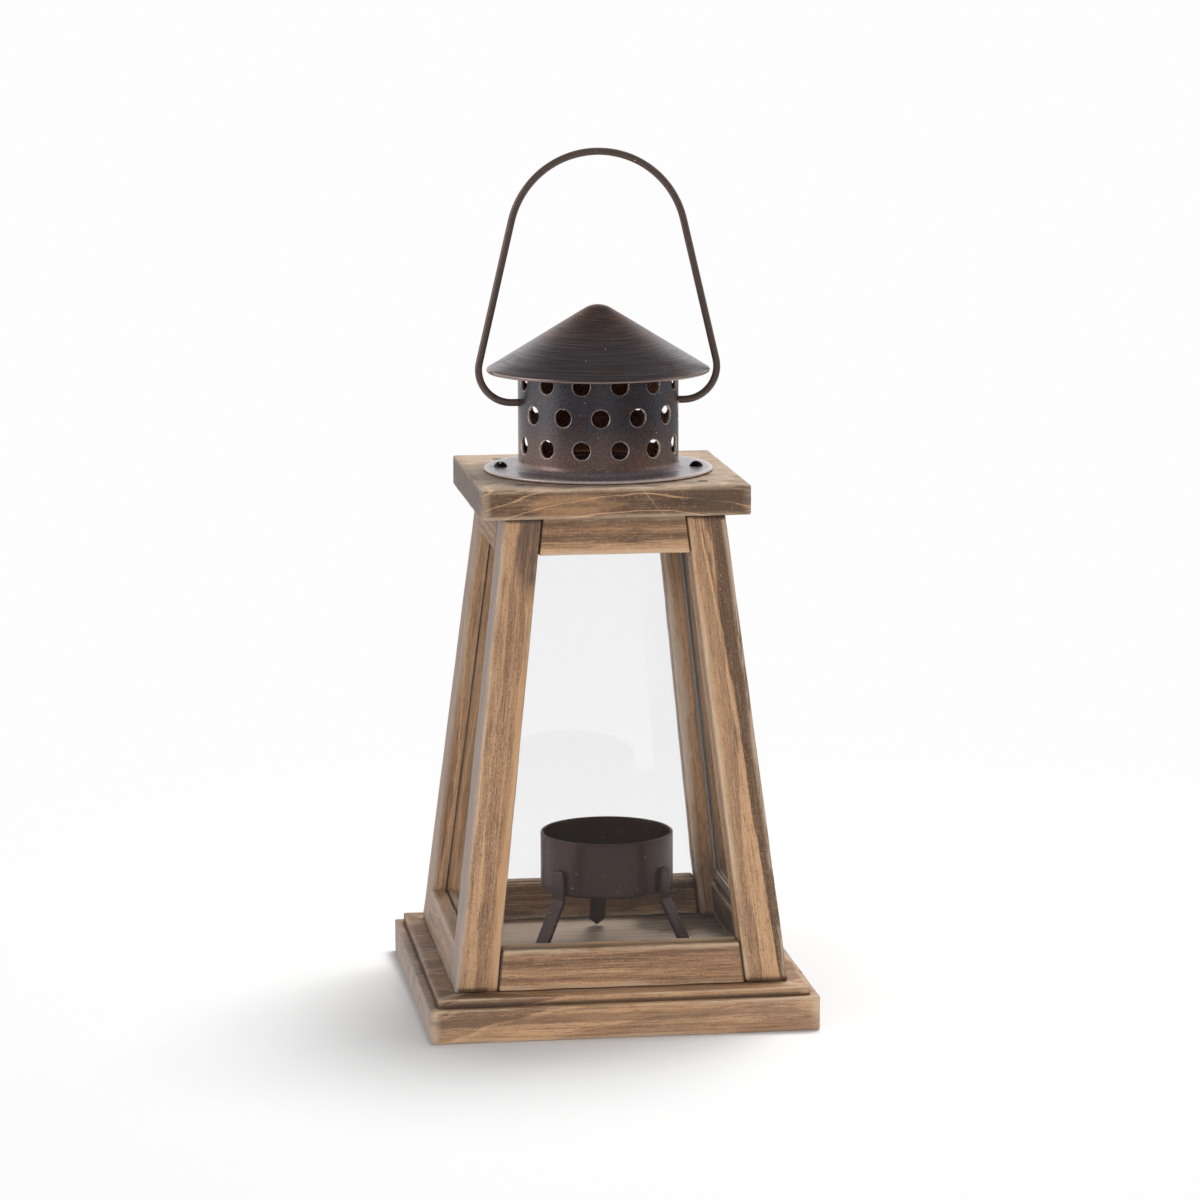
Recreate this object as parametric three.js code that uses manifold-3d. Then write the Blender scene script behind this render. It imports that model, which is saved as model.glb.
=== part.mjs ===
// Wooden tealight lantern: a tapered, four-sided glazed housing on a stepped base board, with a
// perforated metal chimney collar, a cone cap, a wire bail, and a three-legged tealight cup inside.
// Millimetres, +Z up. The origin is the centre of the base's underside and the front faces -Y.

import * as THREE from "three";
import { mergeVertices } from "three/addons/utils/BufferGeometryUtils.js";
import Module from "manifold-3d";

const wasm = await Module();
wasm.setup();

// Fits
const JOINT_GAP = 0.2; // between wooden members, and between a piece and its seat
const GLASS_PLAY = 0.2; // on each side of a pane in its groove
const HOLE_PLAY = 0.2; // round a screw, nail, wire or pin in its hole
const OVERCUT = 1; // how far a cutting tool runs past the face that it opens

// Base board, with a rabbet round its top edge
const BASE_WIDTH = 120;
const BASE_DEPTH = 120;
const BASE_THICKNESS = 13.2;
const BASE_LIP_HEIGHT = 10.5;
const BASE_STEP_INSET = 2.7;
const BASE_CORNER_RADIUS = 0.9;
const BASE_EDGE_EASING = 0.6;

// Housing: four legs that lean inward both ways
const HOUSING_FOOT_WIDTH = 103.4;
const HOUSING_FOOT_DEPTH = 100.8;
const HOUSING_HEAD_WIDTH = 68.4;
const HOUSING_HEAD_DEPTH = 72.2;
const HOUSING_HEIGHT = 144;
const LEG_FOOT_SECTION = 13.2;
const LEG_HEAD_SECTION = 12;
const LEG_ARRIS_RADIUS = 0.7;

// Rails between the legs, flush with their outer faces
const BOTTOM_RAIL_HEIGHT = 12.6;
const TOP_RAIL_HEIGHT = 11.7;
const RAIL_THICKNESS = 9;
const RAIL_ARRIS_RADIUS = 0.5;
const TENON_LENGTH = 4;
const TENON_THICKNESS = 3;
const TENON_SHOULDER = 1.8; // from the rail's outer face to the tenon
const TENON_HEIGHT = 5.5;

// Glazing
const GLASS_THICKNESS = 2;
const GLASS_RECESS = 5; // from the outer face of the wood to the glass
const GROOVE_DEPTH = 3;

// Top board with its vent
const TOP_WIDTH = 82.8;
const TOP_DEPTH = 82.4;
const TOP_THICKNESS = 9.4;
const TOP_CORNER_RADIUS = 0.7;
const TOP_EDGE_EASING = 0.6;
const VENT_DIAMETER = 42;

// Chimney collar: a spun flange and a perforated tube
const COLLAR_DIAMETER = 50;
const COLLAR_WALL = 1;
const FLANGE_DIAMETER = 71.4;
const FLANGE_THICKNESS = 1;
const FLANGE_ROOT_RADIUS = 2.4;
const FLANGE_RIM_RADIUS = 0.45;
const PERFORATION_DIAMETER = 5.6;
const PERFORATION_SPACING = 27.7; // degrees round the collar, between holes in a row
const PERFORATION_ARCS = [
  { middle: -96, counts: [6, 7, 6] }, // the front: degrees, and holes in each row from the lowest
  { middle: 79.4, counts: [6, 5, 6] }, // the back
];
const PERFORATION_FIRST_ROW = 8.9; // above the top board
const PERFORATION_ROW_PITCH = 9.9;
const PERFORATION_LAND = 1; // least metal left between a perforation and a bail hole

// Cone cap, soldered on the collar's rim
const CAP_DIAMETER = 69.4;
const CAP_RIM_HEIGHT = 31.4; // above the top board, at the middle of the hem
const CAP_SLOPE = 31.5; // degrees above level
const CAP_TIP_RADIUS = 8;
const CAP_SHEET = 0.8;
const CAP_HEM_RADIUS = 0.7;

// Wire bail
const BAIL_WIRE_DIAMETER = 2.3;
const BAIL_PIVOT_HEIGHT = 21.5; // above the top board
const BAIL_TOP_HEIGHT = 98.9; // above the top board, at the middle of the wire
const BAIL_ARCH_RADIUS = 27.6;
const BAIL_HOOK_RADIUS = 10.3;
const BAIL_ARM_LEAN = 13.2; // degrees
const BAIL_END_INSIDE = 3; // how far the wire reaches inside the collar

// Tealight cup on three straps
const CUP_DIAMETER = 41.8;
const CUP_HEIGHT = 17.7;
const CUP_WALL = 0.8;
const CUP_CORNER_RADIUS = 1;
const CUP_RISE = 21; // from the base board to the underside of the cup
const CUP_OFFSET_X = 2;
const CUP_OFFSET_Y = -1.4;
const STRAP_WIDTH = 5.2;
const STRAP_THICKNESS = 1.2;
const STRAP_TAB_RISE = 8; // above the underside of the cup
const STRAP_BEND_DROP = 1.7; // below the underside of the cup
const STRAP_SPLAY = 30; // degrees from upright
const STRAP_POINT_LENGTH = 2.6;
const STRAP_ANGLES = [-142, -41, 88]; // degrees, round the cup

// Pin-hung glazed door in the right side
const DOOR_CHANNEL_WIDTH = 4;
const DOOR_CHANNEL_THICKNESS = 3.6;
const DOOR_SHEET = 0.6;
const DOOR_GLASS_THICKNESS = 2;
const DOOR_GLASS_BITE = 2.4; // how far the glass reaches into the channel
const DOOR_LAP = 2.4; // over the rebate in the front leg
const DOOR_FRONT_CLEARANCE = 0.6;
const DOOR_SEAT_GAP = 0.3; // from the door to the shoulder that it closes on
const DOOR_TOP_CLEARANCE = 2;
const DOOR_BOTTOM_CLEARANCE = 0.9;
const DOOR_SWING_CLEARANCE = 0.5; // from the turning edge to the back leg
const DOOR_PIN_DIAMETER = 1.6;
const DOOR_PIN_LENGTH = 4.5;
const KNOB_DIAMETER = 4.2;
const KNOB_NECK_DIAMETER = 2;
const KNOB_BASE_DIAMETER = 3.2;
const KNOB_LENGTH = 5.4;
const KNOB_BASE_THICKNESS = 0.8;
const KNOB_INSET = 2.4; // from the door's front edge to the knob's axis

// Fasteners
const FLANGE_SCREW_RADIUS = 30.5; // from the collar's axis
const FLANGE_SCREW_TURN = -8; // degrees off the X axis
const FLANGE_SCREW_HEAD = 4.4;
const FLANGE_SCREW_HEAD_HEIGHT = 1.5;
const FLANGE_SCREW_SHANK = 2.4;
const FLANGE_SCREW_LENGTH = 7.5;
const FLANGE_SCREW_SLOT_WIDTH = 0.6;
const FLANGE_SCREW_SLOT_DEPTH = 0.7;
const BASE_SCREW_HEAD = 6;
const BASE_SCREW_HEAD_HEIGHT = 1.8;
const BASE_SCREW_SINK = 0.6; // below the base's underside
const BASE_SCREW_SHANK = 3;
const BASE_SCREW_LENGTH = 22;
const BASE_SCREW_SLOT_WIDTH = 0.9;
const BASE_SCREW_SLOT_DEPTH = 0.8;
const NAIL_HEAD = 2.8;
const NAIL_HEAD_HEIGHT = 0.6;
const NAIL_SHANK = 1.4;
const NAIL_LENGTH = 20;

// Facets
const COLLAR_SEGMENTS = 52;
const CUP_SEGMENTS = 48;
const HOLE_SEGMENTS = 12;
const SMALL_SEGMENTS = 16;
const BAIL_STEPS = 90;
const BAIL_SIDES = 10;
const ARRIS_STEPS = 2;
const BEND_STEPS = 4;
const WELD_TOLERANCE = 1e-5; // between corners that are one point

const BASE_TOP = BASE_THICKNESS;
const HEAD_LEVEL = BASE_TOP + HOUSING_HEIGHT;
const TOP_LEVEL = HEAD_LEVEL + TOP_THICKNESS;
const SILL_LEVEL = BASE_TOP + BOTTOM_RAIL_HEIGHT;
const LINTEL_LEVEL = HEAD_LEVEL - TOP_RAIL_HEIGHT;

const MATERIALS = {
  wood: new THREE.MeshStandardMaterial({ color: 0x96704f, roughness: 0.78, metalness: 0 }),
  darkWood: new THREE.MeshStandardMaterial({ color: 0x7d5f49, roughness: 0.8, metalness: 0 }),
  glass: new THREE.MeshStandardMaterial({
    color: 0xdfe6e8, roughness: 0.05, metalness: 0, transparent: true, opacity: 0.3,
  }),
  gunmetal: new THREE.MeshStandardMaterial({ color: 0x4c4a52, roughness: 0.45, metalness: 0.85 }),
  bronze: new THREE.MeshStandardMaterial({ color: 0x4b3e3c, roughness: 0.5, metalness: 0.8 }),
  steel: new THREE.MeshStandardMaterial({ color: 0x3a3634, roughness: 0.5, metalness: 0.85 }),
};

const lantern = new THREE.Group();

function radians(degrees) {
  return THREE.MathUtils.degToRad(degrees);
}

function addPiece(parent, name, geometry, material) {
  const mesh = new THREE.Mesh(geometry, material);
  mesh.name = name;
  parent.add(mesh);
  return mesh;
}

// Joining and cutting

function toSolid(geometry) {
  const bare = geometry.clone();
  bare.deleteAttribute("normal");
  bare.deleteAttribute("uv");
  const welded = mergeVertices(bare, WELD_TOLERANCE);
  return new wasm.Manifold(new wasm.Mesh({
    numProp: 3,
    vertProperties: new Float32Array(welded.attributes.position.array),
    triVerts: new Uint32Array(welded.index.array),
  }));
}

function toGeometry(solid) {
  const mesh = solid.getMesh();
  const geometry = new THREE.BufferGeometry();
  geometry.setAttribute("position", new THREE.BufferAttribute(new Float32Array(mesh.vertProperties), 3));
  geometry.setIndex(new THREE.BufferAttribute(new Uint32Array(mesh.triVerts), 1));
  geometry.computeVertexNormals();
  return geometry;
}

function joined(geometries) {
  const [first, ...others] = geometries.map(toSolid);
  return others.reduce((whole, solid) => whole.add(solid), first);
}

function cutAway(geometry, tools) {
  return toGeometry(toSolid(geometry).subtract(joined(tools)));
}

// Outlines and lofts

// A level rectangle with rounded corners, as points run anticlockwise seen from above
function roundedRectangle({ x, y, z }, radius, steps = ARRIS_STEPS) {
  const corners = [[1, 1, 0], [0, 1, 90], [0, 0, 180], [1, 0, 270]];
  return corners.flatMap(([side, end, start]) => {
    const centreX = x[side] + (side ? -radius : radius);
    const centreY = y[end] + (end ? -radius : radius);
    return Array.from({ length: steps + 1 }, (_, i) => {
      const angle = radians(start + (90 * i) / steps);
      return new THREE.Vector3(centreX + radius * Math.cos(angle), centreY + radius * Math.sin(angle), z);
    });
  });
}

// A closed body through rings of as many points each, the first and last filled in flat
function loft(rings) {
  const count = rings[0].length;
  const positions = rings.flat().flatMap((point) => point.toArray());
  const index = [];
  for (let level = 0; level + 1 < rings.length; level += 1) {
    for (let i = 0; i < count; i += 1) {
      const [a, b] = [level * count + i, level * count + ((i + 1) % count)];
      index.push(a, b, b + count, a, b + count, a + count);
    }
  }
  const last = (rings.length - 1) * count;
  for (let i = 1; i + 1 < count; i += 1) {
    index.push(0, i + 1, i, last, last + i, last + i + 1);
  }
  const geometry = new THREE.BufferGeometry();
  geometry.setAttribute("position", new THREE.Float32BufferAttribute(positions, 3));
  geometry.setIndex(index);
  geometry.computeVertexNormals();
  return geometry;
}

// A block between two level rectangles, for straight cuts and panes
function taperedBlock(low, high) {
  const ring = ({ x, y, z }) => [[1, 1], [0, 1], [0, 0], [1, 0]].map(([i, j]) => (
    new THREE.Vector3(x[i], y[j], z)
  ));
  return loft([ring(low), ring(high)]);
}

// A board with rounded corners; each layer gives its inset from the full outline and its height
function board(width, depth, cornerRadius, layers) {
  return loft(layers.map(({ inset, z }) => roundedRectangle({
    x: [inset - width / 2, width / 2 - inset],
    y: [inset - depth / 2, depth / 2 - inset],
    z,
  }, cornerRadius)));
}

// A disc, ring or turned piece from its outline of [radius, height] points
function turned(outline, segments) {
  return new THREE.LatheGeometry(outline.map(([r, z]) => new THREE.Vector2(r, z)), segments)
    .rotateX(Math.PI / 2);
}

// Points of an arc in an outline, from one angle to another in degrees
function arc([r, z], radius, from, to, steps = BEND_STEPS) {
  return Array.from({ length: steps + 1 }, (_, i) => {
    const angle = radians(from + ((to - from) * i) / steps);
    return [r + radius * Math.cos(angle), z + radius * Math.sin(angle)];
  });
}

// An upright round rod or hole from one height to another
function rod(diameter, from, to, segments = SMALL_SEGMENTS) {
  return new THREE.CylinderGeometry(diameter / 2, diameter / 2, to - from, segments)
    .rotateX(Math.PI / 2)
    .translate(0, 0, (from + to) / 2);
}

// The housing's leaning faces: every width below is linear in the height z

function between(foot, head, z) {
  return foot + ((head - foot) * (z - BASE_TOP)) / HOUSING_HEIGHT;
}

function halfWidth(z) {
  return between(HOUSING_FOOT_WIDTH, HOUSING_HEAD_WIDTH, z) / 2;
}

function halfDepth(z) {
  return between(HOUSING_FOOT_DEPTH, HOUSING_HEAD_DEPTH, z) / 2;
}

function legSection(z) {
  return between(LEG_FOOT_SECTION, LEG_HEAD_SECTION, z);
}

// A side of the housing. `across` runs along the side from its middle, `out` is the distance
// from the housing's axis to the side's outer face, and `clear` is half the gap between its legs.
const SIDES = {
  front: { out: halfDepth, clear: (z) => halfWidth(z) - legSection(z), place: (a, o) => [a, -o] },
  back: { out: halfDepth, clear: (z) => halfWidth(z) - legSection(z), place: (a, o) => [-a, o] },
  left: { out: halfWidth, clear: (z) => halfDepth(z) - legSection(z), place: (a, o) => [-o, -a] },
  right: { out: halfWidth, clear: (z) => halfDepth(z) - legSection(z), place: (a, o) => [o, a] },
};

// The level rectangle between two distances along a side and two depths below its outer face
function sideRectangle(side, across, depth, z) {
  const [p, q] = [
    side.place(across[0], side.out(z) - depth[0]),
    side.place(across[1], side.out(z) - depth[1]),
  ];
  return {
    x: [Math.min(p[0], q[0]), Math.max(p[0], q[0])],
    y: [Math.min(p[1], q[1]), Math.max(p[1], q[1])],
    z,
  };
}

// A block that follows a side's lean; `across` gives its ends at a height
function sideBlock(side, across, depth, levels) {
  const [low, high] = levels.map((z) => sideRectangle(side, across(z), depth, z));
  return taperedBlock(low, high);
}

const GROOVE_DEPTHS = [GLASS_RECESS - GLASS_PLAY, GLASS_RECESS + GLASS_THICKNESS + GLASS_PLAY];
const GLAZED_SIDES = [SIDES.front, SIDES.back, SIDES.left];

// The groove that takes a pane, in the legs and rails of its side
function paneGroove(side) {
  const reach = (z) => side.clear(z) + GROOVE_DEPTH;
  return sideBlock(side, (z) => [-reach(z), reach(z)], GROOVE_DEPTHS, [
    SILL_LEVEL - GROOVE_DEPTH,
    LINTEL_LEVEL + GROOVE_DEPTH,
  ]);
}

// A tenon on each end of a rail, or with play the mortise for it
function tenons(side, [bottom, top], play) {
  const middle = (bottom + top) / 2;
  const levels = [middle - TENON_HEIGHT / 2 - play, middle + TENON_HEIGHT / 2 + play];
  const depth = [TENON_SHOULDER - play, TENON_SHOULDER + TENON_THICKNESS + play];
  const reach = (z) => side.clear(z) + TENON_LENGTH + play;
  return sideBlock(side, (z) => [-reach(z), reach(z)], depth, levels);
}

const BOTTOM_RAIL = [BASE_TOP + JOINT_GAP, SILL_LEVEL];
const TOP_RAIL = [LINTEL_LEVEL, HEAD_LEVEL - JOINT_GAP];

// A rail between two legs, with rounded long arrises, tenons and the pane's groove
function rail(side, [bottom, top], tools) {
  const radius = RAIL_ARRIS_RADIUS;
  const section = roundedRectangle({ x: [0, RAIL_THICKNESS], y: [bottom, top], z: 0 }, radius);
  const end = (sign) => section.map(({ x: depth, y: z }) => {
    const across = sign * (side.clear(z) - JOINT_GAP);
    return new THREE.Vector3(...side.place(across, side.out(z) - depth), z);
  });
  const blank = joined([loft([end(-1), end(1)]), tenons(side, [bottom, top], 0)]);
  return toGeometry(tools.length ? blank.subtract(joined(tools)) : blank);
}

// The door: its plane follows the right side, and it turns on two pins along its back edge

const DOOR_SIDE = SIDES.right;
const DOOR_MIDDLE = GLASS_RECESS + GLASS_THICKNESS / 2;
const DOOR_DEPTHS = [DOOR_MIDDLE - DOOR_CHANNEL_THICKNESS / 2, DOOR_MIDDLE + DOOR_CHANNEL_THICKNESS / 2];
const DOOR_LEVELS = [SILL_LEVEL + DOOR_BOTTOM_CLEARANCE, LINTEL_LEVEL - DOOR_TOP_CLEARANCE];
const DOOR_PIN_INSET = DOOR_CHANNEL_WIDTH / 2;
const DOOR_TURNING_RADIUS = Math.hypot(DOOR_PIN_INSET, DOOR_CHANNEL_THICKNESS / 2);

function doorAxisAcross(z) {
  return DOOR_SIDE.clear(z) - DOOR_TURNING_RADIUS - DOOR_SWING_CLEARANCE;
}

// The door's outline drawn in by an inset: from the lapped front edge to the hung back edge
function doorAcross(inset) {
  return (z) => [
    -DOOR_SIDE.clear(z) - DOOR_LAP + inset,
    doorAxisAcross(z) + DOOR_PIN_INSET - inset,
  ];
}

function doorAxisPoint(z) {
  const [x, y] = DOOR_SIDE.place(doorAxisAcross(z), DOOR_SIDE.out(z) - DOOR_MIDDLE);
  return new THREE.Vector3(x, y, z);
}

// The rebate in the front leg that the door closes into
function doorRebate() {
  const reach = DOOR_LAP + DOOR_FRONT_CLEARANCE;
  return sideBlock(
    DOOR_SIDE,
    (z) => [-DOOR_SIDE.clear(z) - reach, 0],
    [-OVERCUT, DOOR_DEPTHS[1] + DOOR_SEAT_GAP],
    [SILL_LEVEL, LINTEL_LEVEL],
  );
}

// A rod along the door's turning axis
function doorAxisRod(diameter, from, to) {
  const [start, end] = [doorAxisPoint(from), doorAxisPoint(to)];
  const direction = end.clone().sub(start);
  const turn = new THREE.Quaternion().setFromUnitVectors(
    new THREE.Vector3(0, 0, 1),
    direction.clone().normalize(),
  );
  return rod(diameter, 0, direction.length(), HOLE_SEGMENTS)
    .applyQuaternion(turn)
    .translate(start.x, start.y, start.z);
}

function doorPins(diameter, play) {
  const [bottom, top] = DOOR_LEVELS;
  const [bite, reach] = [DOOR_SHEET / 2, DOOR_PIN_LENGTH + play];
  return [
    doorAxisRod(diameter, bottom - reach, bottom + bite),
    doorAxisRod(diameter, top - bite, top + reach),
  ];
}

function doorFrame() {
  const [bottom, top] = DOOR_LEVELS;
  const width = DOOR_CHANNEL_WIDTH;
  const outside = sideBlock(DOOR_SIDE, doorAcross(0), DOOR_DEPTHS, [bottom, top]);
  const past = [DOOR_DEPTHS[0] - OVERCUT, DOOR_DEPTHS[1] + OVERCUT];
  const daylight = sideBlock(DOOR_SIDE, doorAcross(width), past, [bottom + width, top - width]);
  const bite = width - DOOR_GLASS_BITE - GLASS_PLAY;
  const channel = sideBlock(
    DOOR_SIDE,
    doorAcross(bite),
    [DOOR_DEPTHS[0] + DOOR_SHEET, DOOR_DEPTHS[1] - DOOR_SHEET],
    [bottom + bite, top - bite],
  );
  const frame = toSolid(outside).subtract(joined([daylight, channel]));
  return toGeometry(frame.add(joined(doorPins(DOOR_PIN_DIAMETER, 0))));
}

function doorPane() {
  const [bottom, top] = DOOR_LEVELS;
  const inset = DOOR_CHANNEL_WIDTH - DOOR_GLASS_BITE;
  const depth = [DOOR_MIDDLE - DOOR_GLASS_THICKNESS / 2, DOOR_MIDDLE + DOOR_GLASS_THICKNESS / 2];
  return sideBlock(DOOR_SIDE, doorAcross(inset), depth, [bottom + inset, top - inset]);
}

// The knob is turned, and stands square to the door on its front stile
function doorKnob() {
  const [base, neck, ball] = [KNOB_BASE_DIAMETER / 2, KNOB_NECK_DIAMETER / 2, KNOB_DIAMETER / 2];
  const centre = KNOB_LENGTH - ball;
  const meet = THREE.MathUtils.radToDeg(Math.acos(neck / ball));
  const outline = [
    [0, 0], [base, 0], [base, KNOB_BASE_THICKNESS], [neck, KNOB_BASE_THICKNESS],
    ...arc([0, centre], ball, -meet, 90, 2 * BEND_STEPS).slice(0, -1),
    [0, KNOB_LENGTH],
  ];
  return turned(outline, SMALL_SEGMENTS);
}

function placeKnob(knob) {
  const level = (DOOR_LEVELS[0] + DOOR_LEVELS[1]) / 2;
  const across = doorAcross(KNOB_INSET)(level)[0];
  const lean = Math.atan((halfWidth(BASE_TOP) - halfWidth(HEAD_LEVEL)) / HOUSING_HEIGHT);
  const [x, y] = DOOR_SIDE.place(across, DOOR_SIDE.out(level) - DOOR_DEPTHS[0]);
  knob.rotation.y = Math.PI / 2 - lean;
  knob.position.set(x + JOINT_GAP * Math.cos(lean), y, level + JOINT_GAP * Math.sin(lean));
}

// Wooden pieces

const LEG_CORNERS = {
  front_left: [-1, -1],
  front_right: [1, -1],
  back_left: [-1, 1],
  back_right: [1, 1],
};

function legCentre([signX, signY], z) {
  return [
    signX * (halfWidth(z) - legSection(z) / 2),
    signY * (halfDepth(z) - legSection(z) / 2),
  ];
}

function leg(corner) {
  const [signX, signY] = corner;
  const ring = (z) => {
    const [x, y] = legCentre(corner, z);
    const half = legSection(z) / 2;
    return roundedRectangle({ x: [x - half, x + half], y: [y - half, y + half], z }, LEG_ARRIS_RADIUS);
  };
  const blank = loft([ring(BASE_TOP + JOINT_GAP), ring(HEAD_LEVEL - JOINT_GAP)]);
  const sides = [signY < 0 ? SIDES.front : SIDES.back, signX < 0 ? SIDES.left : SIDES.right];
  const tools = sides.flatMap((side) => [
    tenons(side, BOTTOM_RAIL, JOINT_GAP),
    tenons(side, TOP_RAIL, JOINT_GAP),
    ...(GLAZED_SIDES.includes(side) ? [paneGroove(side)] : []),
  ]);
  if (corner === LEG_CORNERS.front_right) {
    tools.push(doorRebate());
  }
  tools.push(baseScrewHole().translate(...legCentre(corner, BASE_TOP), 0));
  tools.push(nailHole().translate(...legCentre(corner, HEAD_LEVEL), TOP_LEVEL));
  return cutAway(blank, tools);
}

function baseBoard() {
  const easing = BASE_EDGE_EASING;
  const blank = board(BASE_WIDTH, BASE_DEPTH, BASE_CORNER_RADIUS, [
    { inset: easing, z: 0 },
    { inset: 0, z: easing },
    { inset: 0, z: BASE_LIP_HEIGHT - easing / 2 },
    { inset: easing / 2, z: BASE_LIP_HEIGHT },
    { inset: BASE_STEP_INSET, z: BASE_LIP_HEIGHT },
    { inset: BASE_STEP_INSET, z: BASE_THICKNESS - easing / 2 },
    { inset: BASE_STEP_INSET + easing / 2, z: BASE_THICKNESS },
  ]);
  return cutAway(blank, Object.values(LEG_CORNERS).map((corner) => (
    baseScrewHole().translate(...legCentre(corner, BASE_TOP), 0)
  )));
}

function topBoard() {
  const easing = TOP_EDGE_EASING;
  const blank = board(TOP_WIDTH, TOP_DEPTH, TOP_CORNER_RADIUS, [
    { inset: easing, z: 0 },
    { inset: 0, z: easing },
    { inset: 0, z: TOP_THICKNESS - easing },
    { inset: easing, z: TOP_THICKNESS },
  ]);
  const vent = rod(VENT_DIAMETER, -OVERCUT, TOP_THICKNESS + OVERCUT, COLLAR_SEGMENTS);
  const nailHoles = Object.values(LEG_CORNERS).map((corner) => (
    nailHole().translate(...legCentre(corner, HEAD_LEVEL), TOP_THICKNESS)
  ));
  const screwHoles = flangeScrewPlaces().map(([x, y]) => (
    rod(FLANGE_SCREW_SHANK + 2 * HOLE_PLAY, TOP_THICKNESS - FLANGE_SCREW_LENGTH, TOP_THICKNESS + OVERCUT)
      .translate(x, y, 0)
  ));
  return cutAway(blank, [vent, ...nailHoles, ...screwHoles]);
}

function pane(side) {
  const reach = (z) => side.clear(z) + GROOVE_DEPTH - GLASS_PLAY;
  return sideBlock(side, (z) => [-reach(z), reach(z)], [GLASS_RECESS, GLASS_RECESS + GLASS_THICKNESS], [
    SILL_LEVEL - GROOVE_DEPTH + GLASS_PLAY,
    LINTEL_LEVEL + GROOVE_DEPTH - GLASS_PLAY,
  ]);
}

// Metal pieces, each with its seat on the top board at height zero

const CAP_TAN = Math.tan(radians(CAP_SLOPE));
const CAP_COS = Math.cos(radians(CAP_SLOPE));
const HEM_CENTRE = CAP_DIAMETER / 2 - CAP_HEM_RADIUS;

// Height of the cap's outer face, were it a plain cone, at a distance from its axis
function capHeight(radius) {
  return CAP_RIM_HEIGHT + (HEM_CENTRE - radius) * CAP_TAN + CAP_HEM_RADIUS / CAP_COS;
}

const COLLAR_TOP = capHeight(COLLAR_DIAMETER / 2) - CAP_SHEET / CAP_COS - JOINT_GAP;

// The middles of the perforations, as an angle and a height, but for those that would meet a bail hole
function perforationPlaces() {
  const land = PERFORATION_DIAMETER / 2 + BAIL_WIRE_DIAMETER / 2 + HOLE_PLAY + PERFORATION_LAND;
  const places = PERFORATION_ARCS.flatMap(({ middle, counts }) => counts.flatMap((count, row) => (
    Array.from({ length: count }, (_, i) => ({
      angle: radians(middle + PERFORATION_SPACING * (i - (count - 1) / 2)),
      height: PERFORATION_FIRST_ROW + row * PERFORATION_ROW_PITCH,
    }))
  )));
  return places.filter(({ angle, height }) => {
    const offAxis = (COLLAR_DIAMETER / 2) * Math.abs(Math.sin(angle));
    return Math.hypot(offAxis, height - BAIL_PIVOT_HEIGHT) > land;
  });
}

function perforations() {
  const wall = [COLLAR_DIAMETER / 2 - COLLAR_WALL - OVERCUT, COLLAR_DIAMETER / 2 + OVERCUT];
  return perforationPlaces().map(({ angle, height }) => (
    rod(PERFORATION_DIAMETER, ...wall, HOLE_SEGMENTS)
      .rotateY(Math.PI / 2)
      .rotateZ(angle)
      .translate(0, 0, height)
  ));
}

function bailHoles() {
  const reach = COLLAR_DIAMETER / 2 + OVERCUT;
  return rod(BAIL_WIRE_DIAMETER + 2 * HOLE_PLAY, -reach, reach)
    .rotateY(Math.PI / 2)
    .translate(0, 0, BAIL_PIVOT_HEIGHT);
}

function flangeScrewPlaces() {
  return [0, 180].map((turn) => {
    const angle = radians(FLANGE_SCREW_TURN + turn);
    return [FLANGE_SCREW_RADIUS * Math.cos(angle), FLANGE_SCREW_RADIUS * Math.sin(angle)];
  });
}

// One spun sheet: a flange with a soft rim that curves up into a tube
function collar() {
  const outer = COLLAR_DIAMETER / 2;
  const inner = outer - COLLAR_WALL;
  const seat = JOINT_GAP / 2;
  const face = seat + FLANGE_THICKNESS;
  const root = FLANGE_ROOT_RADIUS;
  const rim = FLANGE_DIAMETER / 2 - FLANGE_RIM_RADIUS;
  const outline = [
    ...arc([inner + root + COLLAR_WALL, seat + root + COLLAR_WALL], root + COLLAR_WALL, 180, 270),
    ...arc([rim, seat + FLANGE_RIM_RADIUS], FLANGE_RIM_RADIUS, -90, 0, ARRIS_STEPS),
    ...arc([rim, face - FLANGE_RIM_RADIUS], FLANGE_RIM_RADIUS, 0, 90, ARRIS_STEPS),
    ...arc([outer + root, face + root], root, 270, 180),
    [outer, COLLAR_TOP],
    [inner, COLLAR_TOP],
  ];
  const blank = turned([...outline, outline[0]], COLLAR_SEGMENTS);
  const screwHoles = flangeScrewPlaces().map(([x, y]) => (
    rod(FLANGE_SCREW_SHANK + 2 * HOLE_PLAY, -OVERCUT, face + OVERCUT).translate(x, y, 0)
  ));
  return cutAway(blank, [...perforations(), bailHoles(), ...screwHoles]);
}

// A spun cone with a rounded tip and a hem rolled under its rim
function cap() {
  const tilt = 90 - CAP_SLOPE;
  const tipCentre = capHeight(0) - CAP_TIP_RADIUS / CAP_COS;
  const meet = THREE.MathUtils.radToDeg(Math.acos(1 - CAP_SHEET / CAP_HEM_RADIUS));
  const outline = [
    ...arc([0, tipCentre], CAP_TIP_RADIUS - CAP_SHEET, 90, tilt),
    ...arc([HEM_CENTRE, CAP_RIM_HEIGHT], CAP_HEM_RADIUS, tilt + meet, tilt + 360, 2 * BEND_STEPS),
    ...arc([0, tipCentre], CAP_TIP_RADIUS, tilt, 90),
  ];
  outline[0][0] = 0;
  outline[outline.length - 1][0] = 0;
  return turned(outline, COLLAR_SEGMENTS);
}

// A round bend in the plane y = 0, from one angle to another in degrees
class Arc extends THREE.Curve {
  constructor(centre, radius, from, to) {
    super();
    Object.assign(this, { centre, radius, from: radians(from), to: radians(to) });
  }

  getPoint(t, target = new THREE.Vector3()) {
    const angle = this.from + (this.to - this.from) * t;
    const [x, z] = this.centre;
    return target.set(x + this.radius * Math.cos(angle), 0, z + this.radius * Math.sin(angle));
  }
}

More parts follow.
